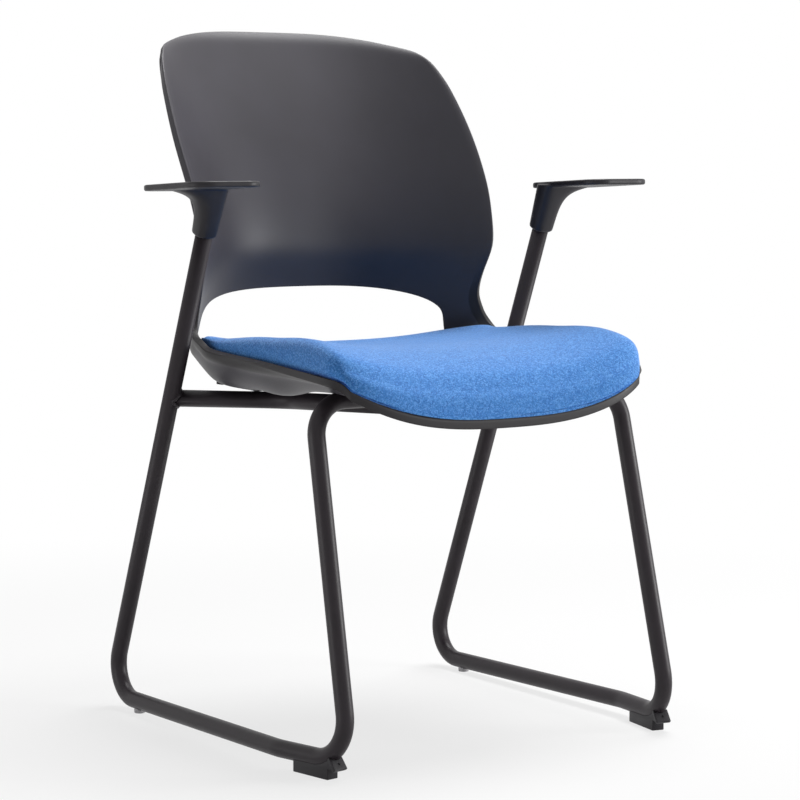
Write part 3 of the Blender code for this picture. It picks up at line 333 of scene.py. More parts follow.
# Seat tabs and the cross bar's sleeve
# Four flat steel tabs are welded on the rails and the cross bar for the seat bolts, and coated with them.
# A zinc plated sleeve inside the cross bar lines up its two halves. Both keep the shape of the solids.
SPANGLE_SIZE = 0.003
zinc_plate = new_material("zinc_plated_steel")
place = add_node(zinc_plate, "ShaderNodeTexCoord")
cells = add_node(
    zinc_plate, "ShaderNodeTexVoronoi", {"Scale": 1 / SPANGLE_SIZE}, {"Vector": place.outputs["Object"]}
)
spangle = cells.outputs["Distance"]
finish(
    zinc_plate,
    {"Metallic": 1.0},
    {
        "Base Color": shade(zinc_plate, spangle, (0, "aeb3b8"), (1, "cdd0d2")),
        "Roughness": spread(zinc_plate, spangle, 0, 1, 0.26, 0.42),
    },
)

SEAT_CORNERS = ("front_left", "rear_left", "front_right", "rear_right")


def refinish(node, material):
    """Gives a carried-over solid its finish."""
    nodes[node].data.materials.clear()
    nodes[node].data.materials.append(material)


for corner in SEAT_CORNERS:
    refinish(f"{corner}_tab", powder_coat)
refinish("cross_bar_sleeve", zinc_plate)


# Seat and back shell
# One injection moulding of charcoal polypropylene: a shallow seat tray that turns up into two uprights
# and a wrapped back, with an open slot at the lumbar and a thicker rim all round. Bolted to the tabs.
SHELL_WALL = 0.005
RIM_THICKNESS = 0.0085
LIP_THICKNESS = 0.0098
FLANK_THICKNESS = 0.0075
FLANK_SHARE = 0.87
FLANK_REACH = 0.13
FLANK_FADES = (0.3, 0.2)
LIP_REACH = 0.12
LIP_THINNING = 0.4
REAR_RIM = (0.93, 0.07)
RIM_BAND = 0.0105
SEAT_HALF_WIDTH = 0.2155
FLOOR_Z = 0.40373
CREST_Z = 0.4236
LIP_Z = 0.3791
LIP_Y = -0.25472
SEAT_REAR_Y = 0.15228
RIM_Z = 0.44413
FLANK_SAG = 0.0105
SAG_MIDDLE = (0.8, 0.38)
SAG_SPREAD = (0.2, 0.27)
SAG_FADE = 0.13
OPENING_SHARE = 0.862
ARCH_SHARE = 0.868
OPENING_SIDE_Z = 0.460
OPENING_RISE = 0.0475
OPENING_ROUNDNESS = 2.9
BACK_FOOT_Z = 0.479
BACK_CORNER_Z = 0.797
BACK_TOP_Z = 0.825
BACK_WRAP_WIDTH = 0.205
ROLL_WIDTH = 0.013
ROLL_DEPTH = 0.0042
ROLL_SIDE_STRETCH = 1.5
ROLL_START = 0.2
RIM_STEP = 0.006
# How far up the back the rim's painted shade reaches, in rows, and over how many rows it fades out
SHADE_BAND_END_ROW = 12
SHADE_BAND_FADE_ROWS = 14
RIM_ROUNDING = 0.0013
BRIDGE_ROWS = 5
HALF_COLUMNS = (
    0, 0.1, 0.2, 0.3, 0.4, 0.5, 0.58, 0.66, 0.72, 0.77, 0.81, 0.84, 0.853, OPENING_SHARE,
    0.88, 0.9, 0.918, 0.934, 0.948, 0.96, 0.972, 0.982, 0.991, 1,
)
SEAT_ROWS = (
    0, 0.012, 0.03, 0.055, 0.085, 0.12, 0.155, 0.195, 0.235, 0.275, 0.32, 0.37, 0.42, 0.47, 0.52, 0.57,
    0.62, 0.67, 0.72, 0.77, 0.81, 0.85, 0.885, 0.915, 0.945, 0.97, 0.987, 1,
)
BACK_ROWS = (
    0, 0.008, 0.025, 0.05, 0.08, 0.115, 0.155, 0.2, 0.25, 0.3, 0.35, 0.4, 0.45, 0.5, 0.55, 0.6, 0.65,
    0.7, 0.75, 0.8, 0.845, 0.885, 0.92, 0.948, 0.97, 0.987, 1,
)
# Stations run from the front lip, at 0, to the seat's rear edge, at 1
SEAT_CENTRE_Y = ((0, LIP_Y), (0.1, LIP_Y + 0.010), (0.2, LIP_Y + 0.034), (1, SEAT_REAR_Y))
SEAT_CENTRE_Z = (
    (0, LIP_Z), (0.1, LIP_Z + 0.0145), (0.2, CREST_Z - 0.0095), (0.25, CREST_Z), (0.31, CREST_Z + 0.0004),
    (0.38, CREST_Z + 0.0002), (0.44, CREST_Z - 0.002), (0.52, FLOOR_Z + 0.010), (0.66, FLOOR_Z + 0.0022),
    (0.73, FLOOR_Z + 0.0003), (0.8, FLOOR_Z + 0.0003), (0.86, FLOOR_Z + 0.0012), (0.94, FLOOR_Z + 0.0112),
    (1, FLOOR_Z + 0.0274),
)
SEAT_EDGE_X = (
    (0, SEAT_HALF_WIDTH - 0.017), (0.1, SEAT_HALF_WIDTH - 0.008), (0.22, SEAT_HALF_WIDTH),
    (1, SEAT_HALF_WIDTH - 0.006),
)
SEAT_EDGE_Y = (
    (0, LIP_Y + 0.014), (0.1, LIP_Y + 0.024), (0.2, LIP_Y + 0.042), (0.5, LIP_Y + 0.165),
    (0.8, SEAT_REAR_Y - 0.118), (0.9, SEAT_REAR_Y - 0.099), (1, SEAT_REAR_Y - 0.085),
)
SEAT_EDGE_Z = (
    (0, LIP_Z + 0.0385), (0.1, RIM_Z - 0.0155), (0.2, RIM_Z - 0.0115), (0.5, RIM_Z - 0.002),
    (0.8, RIM_Z + 0.004), (0.9, RIM_Z + 0.010), (1, RIM_Z + 0.015),
)
PLAN_ROUNDNESS = ((0, 7.5), (1, 7.6))
TRAY_FLATNESS = ((0, 2.8), (0.2, 4.0), (0.4, 9.0), (0.6, 14.0), (0.85, 12.5), (1, 8.0))
# Stations run up the back by height
BACK_CENTRE_Y = (
    (OPENING_SIDE_Z, 0.1973), (0.510, 0.1883), (0.557, 0.1748), (0.615, 0.1833), (0.714, 0.2173),
    (BACK_TOP_Z, 0.2663),
)
BACK_WRAP = (
    (OPENING_SIDE_Z, 0.112), (0.525, 0.1205), (0.614, 0.108), (0.697, 0.0895), (BACK_TOP_Z, 0.076),
)
BACK_ROUNDNESS = ((OPENING_SIDE_Z, 3.3), (BACK_TOP_Z, 2.6))
BACK_EDGE_X = (
    (BACK_FOOT_Z, 0.2030), (0.498, 0.1988), (0.525, 0.2003), (0.560, 0.2055), (0.585, 0.2072),
    (0.641, 0.2113), (0.697, 0.2122),
    (0.754, 0.2063), (0.777, 0.2005), (0.789, 0.1955), (BACK_CORNER_Z, 0.188),
)
# How far the top edge has fallen from the middle, at 0, to the corner, at 1
TOP_FALL = (
    (0, 0), (0.3, 0.015), (0.5, 0.09), (0.7, 0.28), (0.85, 0.525), (0.93, 0.69), (0.97, 0.81), (1, 1),
)


def along(stations, spot):
    """A smooth value between listed stations, each a (place, value) pair."""
    places = [at for at, _ in stations]
    values = [value for _, value in stations]
    spot = min(max(spot, places[0]), places[-1])
    index = max(i for i, at in enumerate(places[:-1]) if at <= spot)
    step = places[index + 1] - places[index]
    share = (spot - places[index]) / step

    def slope(i):
        first = max(i - 1, 0)
        last = min(i + 1, len(places) - 1)
        return (values[last] - values[first]) / (places[last] - places[first]) * step

    rise = values[index + 1] - values[index]
    start, end = slope(index), slope(index + 1)
    return (
        values[index]
        + start * share
        + (3 * rise - 2 * start - end) * share**2
        + (start + end - 2 * rise) * share**3
    )


def soft_step(value):
    """Goes softly from 0 to 1 as the value does."""
    value = min(max(value, 0), 1)
    return value * value * (3 - 2 * value)


def flank_sag(share, back):
    """How far the tray's flank bellies down over the rail."""
    across = max(1 - ((share - SAG_MIDDLE[0]) / SAG_SPREAD[0]) ** 2, 0)
    lengthwise = soft_step((SAG_SPREAD[1] - abs(back - SAG_MIDDLE[1])) / SAG_FADE)
    return FLANK_SAG * across**2 * lengthwise


def seat_point(across, back):
    """A point of the tray's upper face."""
    share = abs(across)
    plan = share ** along(PLAN_ROUNDNESS, back)
    tray = share ** along(TRAY_FLATNESS, back)
    centre_y = along(SEAT_CENTRE_Y, back)
    centre_z = along(SEAT_CENTRE_Z, back)
    return Vector((
        across * along(SEAT_EDGE_X, back),
        centre_y + (along(SEAT_EDGE_Y, back) - centre_y) * plan,
        centre_z + (along(SEAT_EDGE_Z, back) - centre_z) * tray - flank_sag(share, back),
    ))


def back_point(across, up):
    """A point of the back's front face, which rolls away a little along its border."""
    share = abs(across)
    inside = min(share / ARCH_SHARE, 1)
    outside = max(share - OPENING_SHARE, 0) / (1 - OPENING_SHARE)
    arch = (1 - inside**OPENING_ROUNDNESS) ** (1 / OPENING_ROUNDNESS)
    low = OPENING_SIDE_Z + OPENING_RISE * arch + (BACK_FOOT_Z - OPENING_SIDE_Z) * outside
    high = BACK_TOP_Z - (BACK_TOP_Z - BACK_CORNER_Z) * along(TOP_FALL, share)
    edge_x = along(BACK_EDGE_X, BACK_FOOT_Z + (BACK_CORNER_Z - BACK_FOOT_Z) * up)
    x = across * edge_x
    z = low + (high - low) * up
    wrap = (abs(x) / BACK_WRAP_WIDTH) ** along(BACK_ROUNDNESS, z)
    border = min((1 - share) * edge_x * ROLL_SIDE_STRETCH, high - z)
    roll = ROLL_DEPTH * max(1 - border / ROLL_WIDTH, 0) ** 2 * min(up / ROLL_START, 1)
    return Vector((x, along(BACK_CENTRE_Y, z) - along(BACK_WRAP, z) * wrap + roll, z))


def bridged(before, low, high, after, step):
    """A point between the seat's rear edge and the back's foot, in line with the rows on both sides."""
    reach = (high - low).length
    start = (low - before).normalized() * reach
    end = (after - high).normalized() * reach
    return (
        low * (2 * step**3 - 3 * step**2 + 1)
        + start * (step**3 - 2 * step**2 + step)
        + high * (3 * step**2 - 2 * step**3)
        + end * (step**3 - step**2)
    )


def shell_lines():
    """The columns' shares, and each grid point of the upper face with its place on the seat or None."""
    across = [-share for share in reversed(HALF_COLUMNS[1:])] + list(HALF_COLUMNS)
    lines = [[(seat_point(share, back), back) for share in across] for back in SEAT_ROWS]
    upper = [[(back_point(share, up), None) for share in across] for up in BACK_ROWS]
    bridge = []
    for row in range(BRIDGE_ROWS):
        step = (row + 1) / (BRIDGE_ROWS + 1)
        nearby = zip(lines[-2], lines[-1], upper[0], upper[1])
        bridge.append([(bridged(*(spot for spot, _ in four), step), None) for four in nearby])
    return across, lines + bridge + upper


across, lines = shell_lines()
columns = len(across)
rows = len(lines)
spots = [[spot for spot, _ in line] for line in lines]


def edge_distances():
    """How far each grid point is along the surface from the nearer side edge and from the top edge."""
    from_side = [[0.0] * columns for _ in range(rows)]
    from_top = [[0.0] * columns for _ in range(rows)]
    for row in range(rows):
        for column in range(1, columns // 2 + 1):
            step = (spots[row][column] - spots[row][column - 1]).length
            from_side[row][column] = from_side[row][column - 1] + step
            from_side[row][columns - 1 - column] = from_side[row][column]
    for row in range(rows - 2, -1, -1):
        for column in range(columns):
            step = (spots[row][column] - spots[row + 1][column]).length
            from_top[row][column] = from_top[row + 1][column] + step
    return from_side, from_top


from_side, from_top = edge_distances()


def shell_thickness(row, column):
    """The wall at a grid point, how far its underside is drawn straight down, and its share of the rim's
    painted shade.
    """
    share = abs(across[column])
    back = lines[row][column][1]
    nearest = min(from_side[row][column], from_top[row][column])
    rim = soft_step(1 - (nearest - RIM_BAND) / RIM_STEP)
    wall = SHELL_WALL
    edge = RIM_THICKNESS
    lip = 0
    if back is not None:
        flank = soft_step(1 - abs(share - FLANK_SHARE) / FLANK_REACH)
        flank = flank * soft_step(back / FLANK_FADES[0]) * soft_step((1 - back) / FLANK_FADES[1])
        wall += (FLANK_THICKNESS - SHELL_WALL) * flank
        lip = max(1 - back / LIP_REACH, 0)
        edge += (LIP_THICKNESS - RIM_THICKNESS) * lip * (1 - LIP_THINNING * share**4)
        rim = max(rim, lip, (back - REAR_RIM[0]) / REAR_RIM[1])
    # The painted shade covers the rim and fades out over the back's lower rows
    painted_shade = rim * soft_step((len(SEAT_ROWS) + BRIDGE_ROWS + SHADE_BAND_END_ROW - row) / SHADE_BAND_FADE_ROWS)
    return wall + (edge - wall) * rim, lip, painted_shade


def in_opening(face):
    """Whether a face of the grid lies in the lumbar slot."""
    row = min(vertex // columns for vertex in face.vertices)
    column = min(vertex % columns for vertex in face.vertices)
    middle = abs(across[column] + across[column + 1]) / 2
    return 0 <= row - len(SEAT_ROWS) + 1 <= BRIDGE_ROWS and middle < OPENING_SHARE


def pick(piece, kind, wanted):
    """Goes to edit mode with only those faces or edges of a piece selected that pass a test."""
    bpy.ops.object.mode_set(mode="EDIT")
    bpy.ops.mesh.select_mode(type=kind)
    bpy.ops.mesh.select_all(action="DESELECT")
    bpy.ops.object.mode_set(mode="OBJECT")
    for element in piece.data.polygons if kind == "FACE" else piece.data.edges:
        element.select = wanted(element)
    bpy.ops.object.mode_set(mode="EDIT")


clear_selection()
bpy.ops.mesh.primitive_grid_add(x_subdivisions=columns - 1, y_subdivisions=rows - 1, size=2)
shell = bpy.context.object
for index, vertex in enumerate(shell.data.vertices):
    vertex.co = spots[index // columns][index % columns]
grid_place = shell.data.attributes.new("grid_place", "INT", "POINT")
grid_place.data.foreach_set("value", range(rows * columns))
# The lumbar slot is cut out of the sheet
pick(shell, "FACE", in_opening)
bpy.ops.mesh.delete(type="FACE")
bpy.ops.object.mode_set(mode="OBJECT")
# The sheet is drawn down into a wall, which is thicker in the rim and the front lip
under = {}
painted_shade_of = {}
for vertex, normal in zip(shell.data.vertices, shell.data.vertex_normals):
    place = shell.data.attributes["grid_place"].data[vertex.index].value
    thickness, lip, painted_shade_of[place] = shell_thickness(place // columns, place % columns)
    inward = (-normal.vector).lerp(Vector((0, 0, -1)), lip).normalized()
    under[place] = vertex.co + inward * thickness
bpy.ops.object.mode_set(mode="EDIT")
bpy.ops.mesh.select_all(action="SELECT")
bpy.ops.mesh.extrude_region_move()
bpy.ops.object.mode_set(mode="OBJECT")
under_side = set()
for vertex in shell.data.vertices:
    if vertex.select:
        vertex.co = under[shell.data.attributes["grid_place"].data[vertex.index].value]
        under_side.add(vertex.index)
# The rim's band of painted shade, which reaches up the foot of the uprights, is marked for the finish
rim_painted_shade = shell.data.attributes.new("rim_painted_shade", "FLOAT", "POINT")
for index, place in enumerate(shell.data.attributes["grid_place"].data):
    rim_painted_shade.data[index].value = painted_shade_of[place.value]
bpy.ops.object.mode_set(mode="EDIT")
bpy.ops.mesh.select_all(action="SELECT")
bpy.ops.mesh.normals_make_consistent(inside=False)
bpy.ops.object.mode_set(mode="OBJECT")
# The moulding's edges are broken all round, above and below its border
border_edges = set()
for face in shell.data.polygons:
    if 0 < len(under_side.intersection(face.vertices)) < len(face.vertices):
        border_edges.update(key for key in face.edge_keys if len(under_side.intersection(key)) != 1)
pick(shell, "EDGE", lambda edge: edge.key in border_edges)
bpy.ops.mesh.bevel(offset=RIM_ROUNDING, segments=3, profile=0.5, affect="EDGES")
bpy.ops.object.mode_set(mode="OBJECT")
shell.data.attributes.remove(shell.data.attributes["grid_place"])
apply_modifier(shell, "SUBSURF", levels=1, render_levels=1)

# Polypropylene, moulded in a spark-eroded tool: charcoal with a violet cast, satin, with a fine even grain.
# The grain is about 0.5 mm and is drawn at 1.3 mm so that it shows. The rim and the foot of the uprights are
# painted darker: painted shade.
GRAIN_SIZE = 0.0013
FLOW_SIZE = 0.09
polypropylene = new_material("moulded_polypropylene")
grain = noise(polypropylene, GRAIN_SIZE, 3.0, 0.6)
flow = noise(polypropylene, FLOW_SIZE, 3.0, 0.5)
shell_colour = shade(polypropylene, flow, (0.3, "3b393e"), (0.7, "403e44"))
# The marked rim band is mixed to a near-black colour: painted shade
painted_shade_share = add_node(polypropylene, "ShaderNodeAttribute", {"attribute_name": "rim_painted_shade"})
painted_shade_mask = add_node(
    polypropylene,
    "ShaderNodeMapRange",
    {"interpolation_type": "SMOOTHSTEP", "From Min": 0.3, "From Max": 0.7},
    {"Value": painted_shade_share.outputs["Fac"]},
)
painted_shade_colour = add_node(
    polypropylene,
    "ShaderNodeMix",
    {"data_type": "RGBA", 7: hex_colour("1c191c")},
    {0: painted_shade_mask.outputs["Result"], 6: shell_colour},
)
finish(
    polypropylene,
    {"IOR": 1.49, "Specular IOR Level": 0.34},
    {
        "Base Color": painted_shade_colour.outputs[2],
        "Roughness": spread(polypropylene, grain, 0.3, 0.7, 0.42, 0.49),
        "Normal": relief(polypropylene, grain, 0.18, 0.0003),
    },
)

# Four holes take the seat bolts
BOLT_HOLE_RADIUS = 0.0034
BOLT_HOLE_DEPTH = 0.034
BOLT_SPOTS = {}
for corner in SEAT_CORNERS:
    low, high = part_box(f"{corner}_bolt_washer")
    BOLT_SPOTS[corner] = Vector(((low[0] + high[0]) / 2, (low[1] + high[1]) / 2, low[2]))


def cut(piece, tool):
    """Cuts a tool's shape out of a piece and removes the tool."""
    apply_modifier(piece, "BOOLEAN", operation="DIFFERENCE", object=tool, solver="EXACT")
    bpy.data.objects.remove(tool)


for spot in BOLT_SPOTS.values():
    clear_selection()
    bpy.ops.mesh.primitive_cylinder_add(
        vertices=24, radius=BOLT_HOLE_RADIUS, depth=BOLT_HOLE_DEPTH, location=spot
    )
    cut(shell, bpy.context.object)
settle(shell, "shell_moulding", polypropylene, 45)
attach(shell, "root")
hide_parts("seat_back_shell")


# Seat board and its nuts
# A thin board of pressed beech plywood carries the foam. Four zinc plated nuts are knocked into it for the
# bolts. The pad hides them all, so they keep the shape of the solids.
VENEER = 0.0012
FIBRE_WIDTH = 0.003
FIBRE_LENGTH = 0.05
plywood = new_material("pressed_beech_plywood")
place = add_node(plywood, "ShaderNodeTexCoord")
stretch = add_node(
    plywood,
    "ShaderNodeMapping",
    {"Scale": (1 / FIBRE_WIDTH, 1 / FIBRE_LENGTH, 1 / VENEER)},
    {"Vector": place.outputs["Object"]},
)
fibre = add_node(
    plywood,
    "ShaderNodeTexNoise",
    {"Scale": 1.0, "Detail": 4.0, "Roughness": 0.6},
    {"Vector": stretch.outputs["Vector"]},
)
board_colour = shade(plywood, fibre.outputs["Fac"], (0.3, "7d5c3d"), (0.7, "b08b61"))
finish(plywood, {"Roughness": 0.7, "IOR": 1.5}, {"Base Color": board_colour})
refinish("seat_board", plywood)
for corner in SEAT_CORNERS:
    refinish(f"{corner}_t_nut", zinc_plate)


# Seat pad
# Moulded foam under a blue melange cloth, stretched over the board and stapled below, so that its edge
# drops into the tray just inside the rim. Its flanks are raised and its front falls over the lip.
BOARD_TOP = 0.0056
BOARD_SHARE = 0.89
BOARD_SPAN = (0.15, 0.91)
COVER_GAP = 0.0006
PAD_FRONT = 0.004
PAD_REAR = 0.955
PAD_SETBACK = 0.0022
SETBACK_DEPTH = 0.012
SETBACK_SHARE = 0.3
PAD_TUCK = 0.965
PAD_LIFT = 0.0034
PAD_PRESSURE = 4.0
PAD_MOST = 0.003
PAD_FRAMES = 20
EVENING_ROUNDS = 12
FREE_HEIGHT = 0.030
HELD_HEIGHT = 0.006
RAY_START = 0.004
PAD_CROWN_Z = (
    (0, LIP_Z + 0.003), (0.05, LIP_Z + 0.0225), (0.1, LIP_Z + 0.0345), (0.2, CREST_Z + 0.0145),
    (0.3, CREST_Z + 0.0287), (0.4, CREST_Z + 0.0327), (0.52, CREST_Z + 0.0305), (0.66, CREST_Z + 0.0277),
    (0.8, CREST_Z + 0.0245), (0.9, CREST_Z + 0.0235), (0.96, CREST_Z + 0.012), (1, CREST_Z + 0.006),
)
PAD_FLANK = (
    (0, 0.033), (0.1, 0.0310), (0.2, 0.0298), (0.3, 0.0247), (0.45, 0.0208), (0.6, 0.0206), (0.8, 0.0165),
    (1, 0.020),
)
# How near the cover's side comes to the rim's outer edge
PAD_SIDE = ((0, 0.997), (0.2, 0.993), (0.4, 0.986), (1, 0.98))
PAD_FLANK_CURVE = 2.5
PAD_SIDE_CURVE = 34
PAD_COLUMNS = 97
PAD_ROWS = 81


def pad_top(share, back):
    """A point of the pad's upper face."""
    base = seat_point(share, back)
    crown = along(PAD_CROWN_Z, back) + along(PAD_FLANK, back) * abs(share) ** PAD_FLANK_CURVE
    fall = max(1 - (abs(share) / along(PAD_SIDE, back)) ** PAD_SIDE_CURVE, 0) ** 0.5
    edge = along(SEAT_EDGE_Z, back) + PAD_LIFT
    height = edge + (crown - edge) * fall
    return Vector((base.x, base.y, max(height, base.z + PAD_LIFT)))


def gathered(place):
    """A place from -1 to 1 along a row of points that stand closer together at both ends."""
    return (place + math.sin(math.pi / 2 * place)) / 2


def pad_floor(share, back):
    """A point of the pad's underside: on the board, and on the tray beyond the board's edge."""
    base = seat_point(share, back)
    over_board = abs(share) < BOARD_SHARE and BOARD_SPAN[0] < back < BOARD_SPAN[1]
    return base + Vector((0, 0, BOARD_TOP if over_board else COVER_GAP))


clear_selection()
bpy.ops.mesh.primitive_grid_add(x_subdivisions=PAD_COLUMNS - 1, y_subdivisions=PAD_ROWS - 1, size=2)
pad = bpy.context.object
floors = []
for index, vertex in enumerate(pad.data.vertices):
    column = min(max(index % PAD_COLUMNS, 1), PAD_COLUMNS - 2)
    row = min(max(index // PAD_COLUMNS, 1), PAD_ROWS - 2)
    length = gathered(2 * (row - 1) / (PAD_ROWS - 3) - 1)
    back = PAD_FRONT + (PAD_REAR - PAD_FRONT) * (1 + length) / 2
    share = along(PAD_SIDE, back) * gathered(2 * (column - 1) / (PAD_COLUMNS - 3) - 1)
    if (column, row) == (index % PAD_COLUMNS, index // PAD_COLUMNS):
        floors.append(pad_floor(share, back))
        vertex.co = pad_top(share, back)
        depth = max(vertex.co.z - floors[-1].z - SETBACK_DEPTH, 0)
        vertex.co.z -= min(PAD_SETBACK, depth * SETBACK_SHARE)
    else:
        # The border is tucked in below the cover's widest line
        floors.append(pad_floor(share * PAD_TUCK, back + (0.5 - back) * (1 - PAD_TUCK) * 2))
        vertex.co = floors[-1] + Vector((0, 0, COVER_GAP))
bpy.ops.object.mode_set(mode="EDIT")
bpy.ops.mesh.select_all(action="SELECT")
bpy.ops.mesh.extrude_region_move()
bpy.ops.object.mode_set(mode="OBJECT")
lower = [vertex for vertex in pad.data.vertices if vertex.select]
for vertex, floor in zip(lower, floors):
    vertex.co = floor
bpy.ops.object.mode_set(mode="EDIT")
bpy.ops.mesh.select_all(action="SELECT")
bpy.ops.mesh.normals_make_consistent(inside=False)
bpy.ops.object.mode_set(mode="OBJECT")


def tray_height(spot):
    """The height of the tray's upper face under a point of the pad."""
    above = Vector((spot.x, spot.y, spot.z + RAY_START))
    hit, where, _, _ = shell.ray_cast(above, Vector((0, 0, -1)))
    return where.z if hit else spot.z


def near_tray(spot):
    """Whether a point of the pad lies on the board or the tray, or against the rim."""
    return spot.z < tray_height(spot) + HELD_HEIGHT


def inflate(piece, held):
    """Lets the cover swell under the foam's pressure, with the held points kept and each move capped."""
    start = [vertex.co.copy() for vertex in piece.data.vertices]
    group = piece.vertex_groups.new(name="held")
    group.add(held, 1.0, "REPLACE")
    cloth = piece.modifiers.new("cover", "CLOTH")
    cloth.settings.quality = 6
    cloth.settings.mass = 0.25
    cloth.settings.tension_stiffness = 12
    cloth.settings.compression_stiffness = 12
    cloth.settings.shear_stiffness = 4
    cloth.settings.bending_stiffness = 0.4
    cloth.settings.use_pressure = True
    cloth.settings.uniform_pressure_force = PAD_PRESSURE
    cloth.settings.vertex_group_mass = "held"
    cloth.settings.effector_weights.gravity = 0
    cloth.point_cache.frame_start = 1
    cloth.point_cache.frame_end = PAD_FRAMES
    for step in range(1, PAD_FRAMES + 1):
        bpy.context.scene.frame_set(step)
    bpy.context.view_layer.objects.active = piece
    bpy.ops.object.modifier_apply(modifier=cloth.name)
    moves = []
    for vertex, spot in zip(piece.data.vertices, start):
        move = vertex.co - spot
        most = PAD_MOST * soft_step((spot.z - tray_height(spot)) / FREE_HEIGHT)
        moves.append(move.normalized() * min(move.length, most))
    # Foam evens the swelling out over a finger's width
    for _ in range(EVENING_ROUNDS):
        evened = list(moves)
        for index in range(PAD_COLUMNS + 1, PAD_COLUMNS * (PAD_ROWS - 1) - 1):
            beside = moves[index - 1] + moves[index + 1]
            beside += moves[index - PAD_COLUMNS] + moves[index + PAD_COLUMNS]
            evened[index] = moves[index] / 2 + beside / 8
        moves = evened
    for vertex, spot, move in zip(piece.data.vertices, start, moves):
        vertex.co = spot + move
    piece.vertex_groups.clear()
    bpy.context.scene.frame_set(1)


inflate(pad, [vertex.index for vertex in pad.data.vertices if near_tray(vertex.co)])
apply_modifier(pad, "SUBSURF", levels=1, render_levels=1)

# Melange cloth: short wool and polyester fibres in several blues, spun and woven so closely that it reads as
# a felt of light and dark flecks. A thread is about 0.9 mm and is drawn at 1.3 mm so that it shows.
THREAD = 0.0013
FLECK_SIZE = 0.001
melange = new_material("blue_melange_cloth")
place = add_node(melange, "ShaderNodeTexCoord")
knots = add_node(
    melange,
    "ShaderNodeTexVoronoi",
    {"Scale": 1 / THREAD, "Randomness": 0.9},
    {"Vector": place.outputs["Object"]},
)
fleck = add_node(melange, "ShaderNodeSeparateColor", {}, {"Color": knots.outputs["Color"]})
blend = noise(melange, FLECK_SIZE, 2.0, 0.7)
mixed = add_node(
    melange,
    "ShaderNodeMix",
    {"data_type": "FLOAT", 0: 0.4},
    {2: fleck.outputs["Red"], 3: blend},
)
pile = add_node(
    melange,
    "ShaderNodeMath",
    {"operation": "SUBTRACT"},
    {0: blend, 1: knots.outputs["Distance"]},
)
finish(
    melange,
    {"Roughness": 0.9, "IOR": 1.4, "Sheen Weight": 0.35, "Sheen Roughness": 0.5},
    {
        "Base Color": shade(melange, mixed.outputs[0], (0.2, "266cc2"), (0.52, "408cdc"), (0.84, "6eaef2")),
        "Normal": relief(melange, pile.outputs["Value"], 0.5, 0.0005),
    },
)
settle(pad, "seat_cushion", melange, 80)
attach(pad, "root")
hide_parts("seat_cover", "seat_foam")


# Seat bolts and washers
# Four M6 button-head bolts with a hexagon socket come up from below, each on a washer, through the tabs and
# the shell into the nuts. The washers keep the shape of the solids.
BOLT_GAP = 0.0003


def end_heights(piece, edge):
    """The heights of an edge's two ends."""
    return [piece.data.vertices[end].co.z for end in edge.vertices]


def headed_pin(
    head_radius, head_height, shank_radius, shank_length, socket_sides, socket_radius, socket_depth
):
    """A domed head with a socket, and its shank, along Z with the head's underside at zero and head down."""
    clear_selection()
    bpy.ops.mesh.primitive_cylinder_add(
        vertices=32, radius=head_radius, depth=head_height, location=(0, 0, -head_height / 2)
    )
    pin = bpy.context.object
    bpy.ops.object.transform_apply(location=True)
    pick(pin, "FACE", lambda face: face.normal.z > 0.9)
    bpy.ops.mesh.inset(thickness=head_radius - shank_radius)
    bpy.ops.mesh.extrude_region_move(TRANSFORM_OT_translate={"value": (0, 0, shank_length)})
    pick(pin, "EDGE", lambda edge: max(end_heights(pin, edge)) < MERGE_DISTANCE - head_height)
    bpy.ops.mesh.bevel(offset=head_height * 0.55, segments=4, affect="EDGES")
    clear_selection()
    bpy.ops.mesh.primitive_cylinder_add(
        vertices=socket_sides, radius=socket_radius, depth=2 * socket_depth, location=(0, 0, -head_height)
    )
    cut(pin, bpy.context.object)
    return pin


def place_copy(pattern, matrix, name, material):
    """A copy of a pattern piece with its own mesh, set at a place."""
    copy = bpy.data.objects.new(name, pattern.data.copy())
    bpy.context.scene.collection.objects.link(copy)
    copy.data.transform(matrix)
    settle(copy, name, material, 30)
    return copy


pattern = headed_pin(
    head_radius=0.0055, head_height=0.0035, shank_radius=0.003, shank_length=0.0158,
    socket_sides=6, socket_radius=0.0023, socket_depth=0.0018,
)
for corner, spot in BOLT_SPOTS.items():
    seat = Matrix.Translation(spot - Vector((0, 0, BOLT_GAP)))
    bolt = place_copy(pattern, seat, f"{corner}_button_bolt", zinc_plate)
    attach(bolt, "root")
    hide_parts(f"{corner}_seat_bolt")
    refinish(f"{corner}_bolt_washer", zinc_plate)
bpy.data.objects.remove(pattern)


# Armrests and their screws
# Each T-arm is one moulding of black polyamide: a thin flat pad and a stem that sweeps up into it. It slips
# over the post and is held by one screw from the rear.
PAD_TOP_Z = 0.6405
PAD_THICKNESS = 0.007
PAD_TILT = math.radians(2.7)
PAD_OUTWARD = 0.078
PAD_INWARD = 0.012
PAD_FORWARD = 0.098
PAD_REARWARD = 0.041
PAD_CORNER = 0.024
PAD_ROUNDING = 0.0018
STEM_BOTTOM_Z = 0.5807
STEM_HALF = 0.0138
STEM_TAPER = 0.0025
STEM_CHAMFER = 0.0018
STEM_SQUARENESS = 0.75
STEM_SPACING = 1.6
STEM_OVERLAP = 0.3
STEM_FLARE = ((0, 0), (0.4, 0.0005), (0.6, 0.003), (0.75, 0.0085), (0.86, 0.018), (0.94, 0.032), (1, 0.048))
STEM_POINTS = 48
FIT_GAP = 0.0003
BORE_OVERRUN = 0.01
ARM_HEAD_HOLE = 0.0043
ARM_SHANK_HOLE = 0.0023
ARM_SCREW_SEAT = 0.0025
STEM_LEVELS = 26
ARM_VOXEL = 0.0009
ARM_SCREW_Z = 0.603
ARM_SCREW_DEPTH = 0.01362

